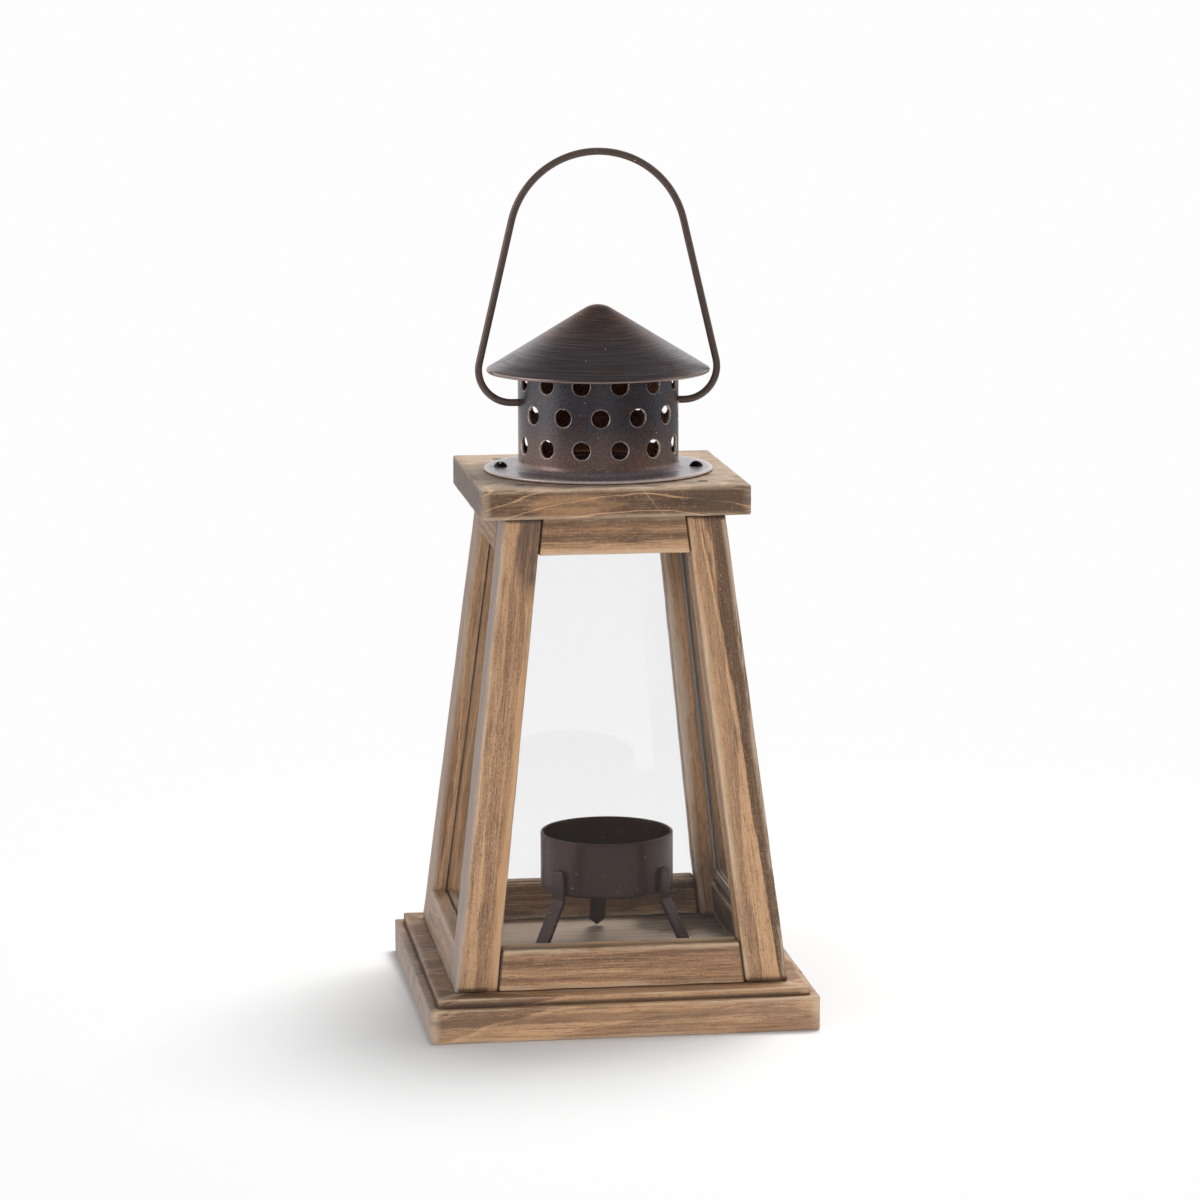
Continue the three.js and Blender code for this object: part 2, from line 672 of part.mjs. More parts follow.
// The bail in its upright place, with its turning axis at height zero: a level end through the
// collar, a hook, a leaning arm, a round arch, and the same again in reverse
function bail() {
  const lean = radians(BAIL_ARM_LEAN);
  const top = BAIL_TOP_HEIGHT - BAIL_PIVOT_HEIGHT;
  const archCentre = top - BAIL_ARCH_RADIUS;
  const armTop = [BAIL_ARCH_RADIUS * Math.cos(lean), archCentre + BAIL_ARCH_RADIUS * Math.sin(lean)];
  const armFootHeight = BAIL_HOOK_RADIUS * (1 + Math.sin(lean));
  const armFootX = armTop[0] + (armTop[1] - armFootHeight) * Math.tan(lean);
  const hookX = armFootX - BAIL_HOOK_RADIUS * Math.cos(lean);
  const endX = COLLAR_DIAMETER / 2 - COLLAR_WALL - BAIL_END_INSIDE;
  const at = (x, z) => new THREE.Vector3(x, 0, z);
  const path = new THREE.CurvePath();
  path.add(new THREE.LineCurve3(at(endX, 0), at(hookX, 0)));
  path.add(new Arc([hookX, BAIL_HOOK_RADIUS], BAIL_HOOK_RADIUS, -90, BAIL_ARM_LEAN));
  path.add(new THREE.LineCurve3(at(armFootX, armFootHeight), at(...armTop)));
  path.add(new Arc([0, archCentre], BAIL_ARCH_RADIUS, BAIL_ARM_LEAN, 180 - BAIL_ARM_LEAN));
  path.add(new THREE.LineCurve3(at(-armTop[0], armTop[1]), at(-armFootX, armFootHeight)));
  path.add(new Arc([-hookX, BAIL_HOOK_RADIUS], BAIL_HOOK_RADIUS, 180 - BAIL_ARM_LEAN, 270));
  path.add(new THREE.LineCurve3(at(-hookX, 0), at(-endX, 0)));
  const section = new THREE.Shape(Array.from({ length: BAIL_SIDES }, (_, i) => {
    const angle = (2 * Math.PI * i) / BAIL_SIDES;
    return new THREE.Vector2(Math.cos(angle), Math.sin(angle)).multiplyScalar(BAIL_WIRE_DIAMETER / 2);
  }));
  return new THREE.ExtrudeGeometry(section, { steps: BAIL_STEPS, extrudePath: path, bevelEnabled: false });
}

// A drawn cup with a rounded foot, standing on its underside
function cup() {
  const outer = CUP_DIAMETER / 2;
  const inner = outer - CUP_WALL;
  const round = CUP_CORNER_RADIUS;
  return turned([
    [0, 0],
    ...arc([outer - round, round], round, -90, 0, ARRIS_STEPS),
    [outer, CUP_HEIGHT],
    [inner, CUP_HEIGHT],
    [inner, CUP_WALL],
    [0, CUP_WALL],
  ], CUP_SEGMENTS);
}

// A bent strap: an upright tab against the cup's wall, a bend, and a splayed leg with a point
function strap() {
  const splay = radians(STRAP_SPLAY);
  const face = CUP_DIAMETER / 2 + JOINT_GAP;
  const drop = CUP_RISE - STRAP_BEND_DROP - JOINT_GAP;
  const foot = face + drop * Math.tan(splay);
  const aside = STRAP_THICKNESS / Math.cos(splay);
  const bendRise = STRAP_THICKNESS * Math.tan(splay / 2);
  const side = new THREE.Shape([
    new THREE.Vector2(face, STRAP_TAB_RISE),
    new THREE.Vector2(face, -STRAP_BEND_DROP),
    new THREE.Vector2(foot, -STRAP_BEND_DROP - drop),
    new THREE.Vector2(foot + aside, -STRAP_BEND_DROP - drop),
    new THREE.Vector2(face + STRAP_THICKNESS, -STRAP_BEND_DROP + bendRise),
    new THREE.Vector2(face + STRAP_THICKNESS, STRAP_TAB_RISE),
  ]);
  const bar = new THREE.ExtrudeGeometry(side, { depth: STRAP_WIDTH, bevelEnabled: false })
    .translate(0, 0, -STRAP_WIDTH / 2)
    .rotateX(Math.PI / 2);
  const [half, low] = [STRAP_WIDTH / 2, -STRAP_BEND_DROP - drop];
  const outline = new THREE.Shape([
    new THREE.Vector2(0, low),
    new THREE.Vector2(half, low + STRAP_POINT_LENGTH * Math.cos(splay)),
    new THREE.Vector2(half, STRAP_TAB_RISE),
    new THREE.Vector2(-half, STRAP_TAB_RISE),
    new THREE.Vector2(-half, low + STRAP_POINT_LENGTH * Math.cos(splay)),
  ]);
  const reach = foot + aside + OVERCUT;
  const blade = new THREE.ExtrudeGeometry(outline, { depth: reach, bevelEnabled: false })
    .rotateX(Math.PI / 2)
    .rotateZ(Math.PI / 2);
  return toGeometry(toSolid(bar).intersect(toSolid(blade)));
}

// Fasteners

// The cutter for a slot across a head whose face is at height zero
function screwSlot(head, width, depth) {
  return new THREE.BoxGeometry(head + OVERCUT, width, 2 * depth);
}

// A domed screw, its head's seat at height zero
function flangeScrew() {
  const [head, shank] = [FLANGE_SCREW_HEAD / 2, FLANGE_SCREW_SHANK / 2];
  const height = FLANGE_SCREW_HEAD_HEIGHT;
  const ball = (head * head + height * height) / (2 * height);
  const start = THREE.MathUtils.radToDeg(Math.asin((ball - height) / ball));
  const dome = arc([0, height - ball], ball, start, 90);
  dome[dome.length - 1][0] = 0;
  const length = FLANGE_SCREW_LENGTH - FLANGE_THICKNESS - HOLE_PLAY;
  const body = turned([
    [0, -length], [shank, -length + FLANGE_SCREW_SHANK], [shank, 0], ...dome,
  ], SMALL_SEGMENTS);
  const slot = screwSlot(FLANGE_SCREW_HEAD, FLANGE_SCREW_SLOT_WIDTH, FLANGE_SCREW_SLOT_DEPTH);
  return cutAway(body, [slot.translate(0, 0, height)]);
}

// A countersunk screw driven up through the base, its head's face at height zero
function baseScrewOutline(play) {
  const [head, shank] = [BASE_SCREW_HEAD / 2 + play, BASE_SCREW_SHANK / 2 + play];
  const tip = BASE_SCREW_LENGTH + play;
  return [
    [0, 0], [head, 0], [shank, BASE_SCREW_HEAD_HEIGHT], [shank, tip - BASE_SCREW_SHANK], [0, tip],
  ];
}

function baseScrew() {
  const slot = screwSlot(BASE_SCREW_HEAD, BASE_SCREW_SLOT_WIDTH, BASE_SCREW_SLOT_DEPTH);
  return cutAway(turned(baseScrewOutline(0), SMALL_SEGMENTS), [slot]);
}

function baseScrewHole() {
  const outline = baseScrewOutline(HOLE_PLAY).slice(1);
  const mouth = [[0, -BASE_SCREW_SINK - OVERCUT], [outline[0][0], -BASE_SCREW_SINK - OVERCUT]];
  return turned([...mouth, ...outline], SMALL_SEGMENTS).translate(0, 0, BASE_SCREW_SINK);
}

// A nail driven down through the top board, the face of its head at height zero
function nailOutline(play) {
  const [head, shank] = [NAIL_HEAD / 2 + play, NAIL_SHANK / 2 + play];
  const tip = -NAIL_LENGTH - play;
  const neck = -NAIL_HEAD_HEIGHT - play;
  return [[0, tip], [shank, tip + NAIL_SHANK], [shank, neck], [head, neck], [head, 0], [0, 0]];
}

function nail() {
  return turned(nailOutline(0), HOLE_SEGMENTS);
}

function nailHole() {
  const outline = nailOutline(HOLE_PLAY);
  const head = outline[3][0];
  return turned([...outline.slice(0, 4), [head, OVERCUT], [0, OVERCUT]], HOLE_SEGMENTS);
}

// Assembly

addPiece(lantern, "base_board", baseBoard(), MATERIALS.wood);

for (const [name, corner] of Object.entries(LEG_CORNERS)) {
  addPiece(lantern, `leg_${name}`, leg(corner), MATERIALS.wood);
}

for (const [name, side] of Object.entries(SIDES)) {
  const isDoor = side === DOOR_SIDE;
  const tools = isDoor ? doorPins(DOOR_PIN_DIAMETER + 2 * HOLE_PLAY, HOLE_PLAY) : [paneGroove(side)];
  addPiece(lantern, `bottom_rail_${name}`, rail(side, BOTTOM_RAIL, tools), MATERIALS.wood);
  addPiece(lantern, `top_rail_${name}`, rail(side, TOP_RAIL, tools), MATERIALS.wood);
  if (!isDoor) {
    addPiece(lantern, `pane_${name}`, pane(side), MATERIALS.glass);
  }
}

addPiece(lantern, "door_frame", doorFrame(), MATERIALS.steel);
addPiece(lantern, "door_pane", doorPane(), MATERIALS.glass);
placeKnob(addPiece(lantern, "door_knob", doorKnob(), MATERIALS.bronze));

addPiece(lantern, "top_board", topBoard(), MATERIALS.darkWood).position.z = HEAD_LEVEL;

const chimney = new THREE.Group();
chimney.position.z = TOP_LEVEL;
lantern.add(chimney);
addPiece(chimney, "chimney_collar", collar(), MATERIALS.gunmetal);
addPiece(chimney, "cone_cap", cap(), MATERIALS.gunmetal);
addPiece(chimney, "bail", bail(), MATERIALS.bronze).position.z = BAIL_PIVOT_HEIGHT;
flangeScrewPlaces().forEach(([x, y], i) => {
  const screw = addPiece(chimney, `flange_screw_${i + 1}`, flangeScrew(), MATERIALS.steel);
  screw.position.set(x, y, FLANGE_THICKNESS + JOINT_GAP);
});

const cupStand = new THREE.Group();
cupStand.position.set(CUP_OFFSET_X, CUP_OFFSET_Y, BASE_TOP + CUP_RISE);
lantern.add(cupStand);
addPiece(cupStand, "tealight_cup", cup(), MATERIALS.bronze);
STRAP_ANGLES.forEach((angle, i) => {
  addPiece(cupStand, `cup_leg_${i + 1}`, strap(), MATERIALS.bronze).rotation.z = radians(angle);
});

Object.entries(LEG_CORNERS).forEach(([name, corner]) => {
  const screw = addPiece(lantern, `base_screw_${name}`, baseScrew(), MATERIALS.steel);
  screw.position.set(...legCentre(corner, BASE_TOP), BASE_SCREW_SINK);
  const brad = addPiece(lantern, `top_nail_${name}`, nail(), MATERIALS.steel);
  brad.position.set(...legCentre(corner, HEAD_LEVEL), TOP_LEVEL);
});

export default lantern;
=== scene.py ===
"""Dresses the wooden tealight lantern: worn pine, glass, and dark patinated metal.

Everything is in metres, +Z up, with the origin at the centre of the base board's underside and
the front facing -Y. Shapes are numpy grids: rings of points carried along a path or a profile.
"""

import logging
import math
from dataclasses import dataclass, field, fields
from enum import Enum
from typing import Optional, Sequence

import bmesh
import bpy
import numpy as np
from mathutils import Matrix, Vector


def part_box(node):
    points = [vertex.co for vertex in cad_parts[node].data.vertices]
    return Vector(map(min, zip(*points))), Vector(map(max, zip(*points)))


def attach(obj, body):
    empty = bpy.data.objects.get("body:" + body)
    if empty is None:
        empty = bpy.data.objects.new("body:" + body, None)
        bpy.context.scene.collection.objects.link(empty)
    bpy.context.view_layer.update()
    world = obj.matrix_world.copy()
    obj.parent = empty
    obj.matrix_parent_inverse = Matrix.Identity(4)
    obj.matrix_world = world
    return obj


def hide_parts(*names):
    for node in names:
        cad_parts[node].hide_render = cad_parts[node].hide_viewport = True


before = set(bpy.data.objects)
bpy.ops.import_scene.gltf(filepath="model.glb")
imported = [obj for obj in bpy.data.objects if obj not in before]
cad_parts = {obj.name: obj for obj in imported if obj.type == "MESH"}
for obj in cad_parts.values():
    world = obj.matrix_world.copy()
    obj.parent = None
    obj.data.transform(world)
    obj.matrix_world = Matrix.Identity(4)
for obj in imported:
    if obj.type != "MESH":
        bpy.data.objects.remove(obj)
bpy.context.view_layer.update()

MM = 0.001
LOG = logging.getLogger("lantern")

WELD = 0.001 * MM
WEAR_REACH = 0.3 * MM
WAVES = 8
WAVE_SPREAD = (0.6, 1.6)
CORNERS = {
    "front_left": (-1, -1), "front_right": (1, -1), "back_left": (-1, 1), "back_right": (1, 1)
}

Array = np.ndarray
Material = bpy.types.Material
Object = bpy.types.Object
Pair = tuple[float, float]
Triple = tuple[float, float, float]
Colour = tuple[float, float, float, float]


class Body(Enum):
    """The bodies that the lantern's pieces ride on."""

    HOUSING = "housing"
    DOOR = "door"
    BAIL = "bail"


# Grids


@dataclass
class Skin:
    """A grid of points, as rows of closed rings, with each point's wear.

    Wear runs from -1, painted shade where parts meet and in creases, to 1, exposed and rubbed.
    """

    points: Array
    wear: Array

    def plus(self, offset: Array) -> "Skin":
        """Returns the skin with its points moved by an offset for each point."""
        return Skin(self.points + offset, self.wear)


def unit(vectors: Array) -> Array:
    """Returns vectors divided by their lengths, along the last axis."""
    return vectors / np.maximum(np.linalg.norm(vectors, axis=-1, keepdims=True), 1e-12)


def turn_left(vectors: Array) -> Array:
    """Returns plane vectors turned a quarter anticlockwise: (x, y) becomes (-y, x)."""
    return np.stack([-vectors[..., 1], vectors[..., 0]], axis=-1)


def drawn_in(corners: Array, inset: Array) -> Array:
    """Moves an outline's edges inward and returns its new corners.

    Each corner moves by inset * (n1 + n2) / (1 + n1 . n2), where n1 and n2 are the inward normals
    of its two edges.

    Args:
        corners: Outlines that run anticlockwise, rows x corners x 2.
        inset: One distance for each row.

    Returns:
        The corners of the drawn-in outlines, rows x corners x 2.
    """
    before = turn_left(unit(corners - np.roll(corners, 1, axis=1)))
    after = turn_left(unit(np.roll(corners, -1, axis=1) - corners))
    share = 1 + np.sum(before * after, axis=-1, keepdims=True)
    return corners + inset[:, None, None] * (before + after) / share


def outline(
    corners: Array, radii: Array, worn: Array, edge_steps: Sequence[int], arc_steps: int = 3
) -> tuple[Array, Array]:
    """Samples square-cornered outlines as arcs at the corners and evenly split edges between.

    With d1 and d2 the directions into and out of a corner c, its arc is
    c - r d1 + r d2 + r (d1 sin a - d2 cos a) for a from 0 to 90 degrees.

    Args:
        corners: Anticlockwise outlines, rows x corners x 2.
        radii: Corner radii, rows x corners.
        worn: How worn each corner is, rows x corners.
        edge_steps: How many parts the edge after each corner has.
        arc_steps: How many parts each arc has.

    Returns:
        Points, rows x points x 2, and their wear, which fades with the distance from a corner.
    """
    into = unit(corners - np.roll(corners, 1, axis=1))
    out = np.roll(into, -1, axis=1)
    angle = np.linspace(0, math.pi / 2, arc_steps + 1)
    r = radii[..., None, None]
    arcs = (
        corners[:, :, None]
        + r * (out - into)[:, :, None]
        + r * into[:, :, None] * np.sin(angle)[:, None]
        - r * out[:, :, None] * np.cos(angle)[:, None]
    )
    points, wear = [], []
    count = corners.shape[1]
    for i in range(count):
        following = (i + 1) % count
        points.append(arcs[:, i])
        wear.append(np.repeat(worn[:, i, None], arc_steps + 1, axis=1))
        share = np.linspace(0, 1, edge_steps[i] + 1)[1:-1]
        start, end = arcs[:, i, -1], arcs[:, following, 0]
        length = np.linalg.norm(end - start, axis=-1)[:, None]
        points.append(start[:, None] + (end - start)[:, None] * share[:, None])
        wear.append(
            np.maximum(
                worn[:, i, None] * np.exp(-share * length / WEAR_REACH),
                worn[:, following, None] * np.exp(-(1 - share) * length / WEAR_REACH),
            )
        )
    return np.concatenate(points, axis=1), np.concatenate(wear, axis=1)


def ripple(points: Array, seed: int, length: float, height: float) -> Array:
    """Works out a smooth, irregular height at each point.

    It is the mean of eight plane sine waves with random directions, lengths and phases.

    Args:
        points: Points, any shape x 3.
        seed: Chooses the waves.
        length: The middle wavelength.
        height: The height of the waves.

    Returns:
        A height for each point.
    """
    draw = np.random.default_rng(seed)
    directions = unit(draw.normal(size=(WAVES, 3)))
    lengths = length * draw.uniform(*WAVE_SPREAD, size=WAVES)
    phases = draw.uniform(0, 2 * math.pi, size=WAVES)
    waves = np.sin(points @ (directions / lengths[:, None]).T * 2 * math.pi + phases)
    return height * waves.mean(axis=-1)


def normals(points: Array, wrap_rows: bool = False) -> Array:
    """Works out a grid's unit normals, from the cross product of its row and column differences.

    Args:
        points: Rows of closed rings, rows x columns x 3.
        wrap_rows: Whether the last ring joins the first.

    Returns:
        The normals, rows x columns x 3.
    """
    across = np.roll(points, -1, axis=1) - np.roll(points, 1, axis=1)
    if wrap_rows:
        along = np.roll(points, -1, axis=0) - np.roll(points, 1, axis=0)
    else:
        along = np.gradient(points, axis=0)
    return unit(np.cross(across, along))


def quads(rows: int, columns: int, wrap_rows: bool = False) -> Array:
    """Numbers the corners of a grid's faces, whose columns close into rings.

    Args:
        rows: How many rings the grid has.
        columns: How many points each ring has.
        wrap_rows: Whether the last ring joins the first.

    Returns:
        Point numbers, faces x 4.
    """
    last = rows if wrap_rows else rows - 1
    i, j = np.meshgrid(np.arange(last), np.arange(columns), indexing="ij")
    below, beside = (i + 1) % rows, (j + 1) % columns
    corners = [i * columns + j, i * columns + beside, below * columns + beside, below * columns + j]
    return np.stack(corners, axis=-1).reshape(-1, 4)


class Cap(Enum):
    """How the two ends of a grid are closed."""

    OPEN = "open"
    FLAT = "flat"
    POLE = "pole"


def make_mesh(name: str, points: Array, faces: list, wear: Array) -> Object:
    """Makes an object from points and faces, with smooth faces, sharp edges and outward normals.

    Args:
        name: The piece's name.
        points: Points x 3.
        faces: Lists of point numbers.
        wear: Each point's wear, from -1 to 1, kept in the attribute "wear".

    Returns:
        The object, in the scene.
    """
    mesh = bpy.data.meshes.new(name)
    mesh.from_pydata(points.tolist(), [], faces)
    layer = mesh.attributes.new("wear", "FLOAT", "POINT")
    layer.data.foreach_set("value", np.ascontiguousarray(wear.ravel(), dtype=np.float32))
    piece = linked(name, mesh)
    tidy(piece)
    return piece


def linked(name: str, data: bpy.types.ID) -> Object:
    """Makes an object in the scene.

    Args:
        name: Its name.
        data: Its mesh, camera or lamp.

    Returns:
        The object.
    """
    made = bpy.data.objects.new(name, data)
    bpy.context.scene.collection.objects.link(made)
    return made


def tidy(piece: Object, weld: float = WELD, sharp: float = 32.0) -> None:
    """Merges a piece's doubled points, turns its faces outward and sets its sharp edges.

    Args:
        piece: The object to tidy.
        weld: Points closer than this are merged.
        sharp: Edges that bend more than this many degrees are sharp.
    """
    shape = bmesh.new()
    shape.from_mesh(piece.data)
    bmesh.ops.remove_doubles(shape, verts=shape.verts, dist=weld)
    bmesh.ops.dissolve_degenerate(shape, edges=shape.edges, dist=weld)
    if shape.calc_volume(signed=True) < 0:
        bmesh.ops.reverse_faces(shape, faces=shape.faces)
    shape.to_mesh(piece.data)
    shape.free()
    shade(piece, sharp)


def shade(piece: Object, sharp: float) -> None:
    """Makes a piece's faces smooth, with sharp edges where they bend more than some degrees."""
    piece.data.shade_smooth()
    piece.data.set_sharp_from_angle(angle=math.radians(sharp))


def from_grid(name: str, skin: Skin, cap: Cap = Cap.FLAT, wrap_rows: bool = False) -> Object:
    """Makes a piece from a grid of rings.

    Args:
        name: The piece's name.
        skin: The grid.
        cap: How its two ends are closed.
        wrap_rows: Whether the last ring joins the first.

    Returns:
        The piece.
    """
    rows, columns = skin.points.shape[:2]
    points = skin.points.reshape(-1, 3)
    wear = skin.wear.ravel()
    faces = quads(rows, columns, wrap_rows).tolist()
    first, last = np.arange(columns), (rows - 1) * columns + np.arange(columns)
    if cap is Cap.FLAT and not wrap_rows:
        faces += [first[::-1].tolist(), last.tolist()]
    if cap is Cap.POLE:
        ends = np.stack([skin.points[0].mean(axis=0), skin.points[-1].mean(axis=0)])
        low, high = len(points), len(points) + 1
        points = np.concatenate([points, ends])
        wear = np.concatenate([wear, [skin.wear[0].mean(), skin.wear[-1].mean()]])
        faces += np.stack([np.roll(first, -1), first, np.full(columns, low)], axis=-1).tolist()
        faces += np.stack([last, np.roll(last, -1), np.full(columns, high)], axis=-1).tolist()
    return make_mesh(name, points, faces, wear)


def unworn(points: Array) -> Skin:
    """Returns a skin without wear."""
    return Skin(points, np.zeros(points.shape[:2]))


def lifted(plan: Array, z: Array) -> Array:
    """Returns plane rings as points, each ring at its own height."""
    return np.concatenate([plan, np.repeat(z[:, None, None], plan.shape[1], axis=1)], axis=-1)


def turned(profile: Array, segments: int, worn: Optional[Array] = None) -> Skin:
    """Turns a profile round the Z axis, with a ring for each point.

    Each ring is (r cos a, r sin a, z) for angles a all round.

    Args:
        profile: Points of [radius, height].
        segments: How many points each ring has.
        worn: How worn each ring is, or None for no wear.

    Returns:
        The skin.
    """
    angle = np.arange(segments) * 2 * math.pi / segments
    radius, height = profile[:, 0, None], profile[:, 1, None]
    points = np.stack(
        np.broadcast_arrays(radius * np.cos(angle), radius * np.sin(angle), height), axis=-1
    )
    wear = np.zeros(len(profile)) if worn is None else worn
    return Skin(points, np.repeat(wear[:, None], segments, axis=1))


def arc(centre: Pair, radius: float, start: float, end: float, steps: int) -> Array:
    """Returns points of a plane arc from one angle to another in degrees."""
    angle = np.radians(np.linspace(start, end, steps + 1))
    return np.stack([np.cos(angle), np.sin(angle)], axis=-1) * radius + np.array(centre)


def stretch(points: Sequence, spacing: float) -> Array:
    """Resamples a path, keeping its own points.

    Args:
        points: The path's points.
        spacing: About how far apart the points are to be, at least.

    Returns:
        The points, with more between them.
    """
    path = np.asarray(points, dtype=float)
    parts = [
        np.linspace(a, b, max(1, int(np.linalg.norm(b - a) / spacing)), endpoint=False)
        for a, b in zip(path[:-1], path[1:])
    ]
    return np.concatenate([*parts, path[-1:]])


def walked(corners: Array, parts: Sequence[int]) -> Array:
    """Returns points along a closed outline, each of whose edges is split into even parts."""
    edges = zip(corners, np.roll(corners, -1, axis=0), parts)
    return np.concatenate([np.linspace(a, b, n, endpoint=False) for a, b, n in edges])


def edge_parts(ring: Array, step: float) -> list[int]:
    """Returns how many parts of about a step each edge of an outline takes, two at least."""
    return [max(2, int(n)) for n in np.linalg.norm(np.roll(ring, -1, 0) - ring, axis=-1) / step]


def eased_ends(rows: int, insets: Pair) -> Array:
    """Works out an inset for each ring, so that a piece's ends are eased.

    Args:
        rows: How many rings there are.
        insets: The inset of both end rings, and of those next to them.

    Returns:
        The insets, zero between.
    """
    inset = np.zeros(rows)
    inset[[0, -1]], inset[[1, -2]] = insets
    return inset


def tube(path: Array, radius: Array, sides: int) -> Skin:
    """Carries a circle along a path in the plane y = 0.

    With t the path's direction, each ring is path + r (cos a (t x Y) + sin a Y).

    Args:
        path: Points x 3.
        radius: One radius for each point.
        sides: How many points each ring has.

    Returns:
        The skin, without wear.
    """
    along = unit(np.gradient(path, axis=0))
    upright = np.array([0.0, 1.0, 0.0])
    outward = np.cross(along, upright)
    angle = np.arange(sides) * 2 * math.pi / sides
    ring = np.cos(angle)[:, None] * outward[:, None] + np.sin(angle)[:, None] * upright
    return unworn(path[:, None] + radius[:, None, None] * ring)


def cut(piece: Object, tools: Sequence[Object]) -> None:
    """Cuts tools out of a piece, and removes the tools.

    Args:
        piece: The piece, whose mesh is replaced.
        tools: Closed objects to take away from it.
    """
    for tool in tools:
        modifier = piece.modifiers.new("cut", "BOOLEAN")
        modifier.operation = "DIFFERENCE"
        modifier.solver = "EXACT"
        modifier.object = tool
    depsgraph = bpy.context.evaluated_depsgraph_get()
    shape = bpy.data.meshes.new_from_object(piece.evaluated_get(depsgraph))
    piece.modifiers.clear()
    old = piece.data
    piece.data = shape
    bpy.data.meshes.remove(old)
    for tool in tools:
        bpy.data.objects.remove(tool)
    tidy(piece)


def plan_middle(node: str) -> Pair:
    """Returns the middle of a CAD node's box in plan."""
    low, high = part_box(node)
    return ((low.x + high.x) / 2, (low.y + high.y) / 2)


def rod(radius: float, low: float, high: float, at: Pair) -> Object:
    """Makes an upright round cutter from one height to another."""
    profile = np.array([[radius, low], [radius, high]])
    return from_grid("cutter", turned(profile, 32).plus(np.array([*at, 0.0])))


def place(piece: Object, body: Body, slot: str, material: Material, node: str) -> None:
    """Gives a piece its body and material, and hides the CAD node that it replaces.

    Args:
        piece: The finished piece.
        body: The body that it rides on.
        slot: The record's material slot, which is not used.
        material: Its material.
        node: The CAD node that it stands for.
    """
    paint(piece, material)
    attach(piece, body.value)
    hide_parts(node)


def paint(piece: Object, material: Material) -> None:
    """Gives an object a material in place of those that it has.

    Args:
        piece: The object.
        material: The material.
    """
    piece.data.materials.clear()
    piece.data.materials.append(material)
    LOG.info("%s: %d faces, %s", piece.name, len(piece.data.polygons), material.name)


# Shader nodes


class Signal:
    """A shader socket that can be reckoned with: each sum or product adds a Math node."""

    def __init__(self, tree: "Tree", socket: bpy.types.NodeSocket) -> None:
        """Keeps a socket with its tree."""
        self.tree = tree
        self.socket = socket

    def __add__(self, other: object) -> "Signal":
        """Returns this plus the other."""
        return self.tree.math("ADD", self, other)

    def __radd__(self, other: object) -> "Signal":
        """Returns the other plus this."""
        return self.tree.math("ADD", other, self)

    def __sub__(self, other: object) -> "Signal":
        """Returns this less the other."""
        return self.tree.math("SUBTRACT", self, other)

    def __rsub__(self, other: object) -> "Signal":
        """Returns the other less this."""
        return self.tree.math("SUBTRACT", other, self)

    def __mul__(self, other: object) -> "Signal":
        """Returns this times the other."""
        return self.tree.math("MULTIPLY", self, other)

    def __truediv__(self, other: object) -> "Signal":
        """Returns this divided by the other."""
        return self.tree.math("DIVIDE", self, other)

    def __abs__(self) -> "Signal":
        """Returns this without its sign."""
        return self.tree.math("ABSOLUTE", self)

    def over(self, other: object) -> "Signal":
        """Returns the greater of this and the other."""
        return self.tree.math("MAXIMUM", self, other)


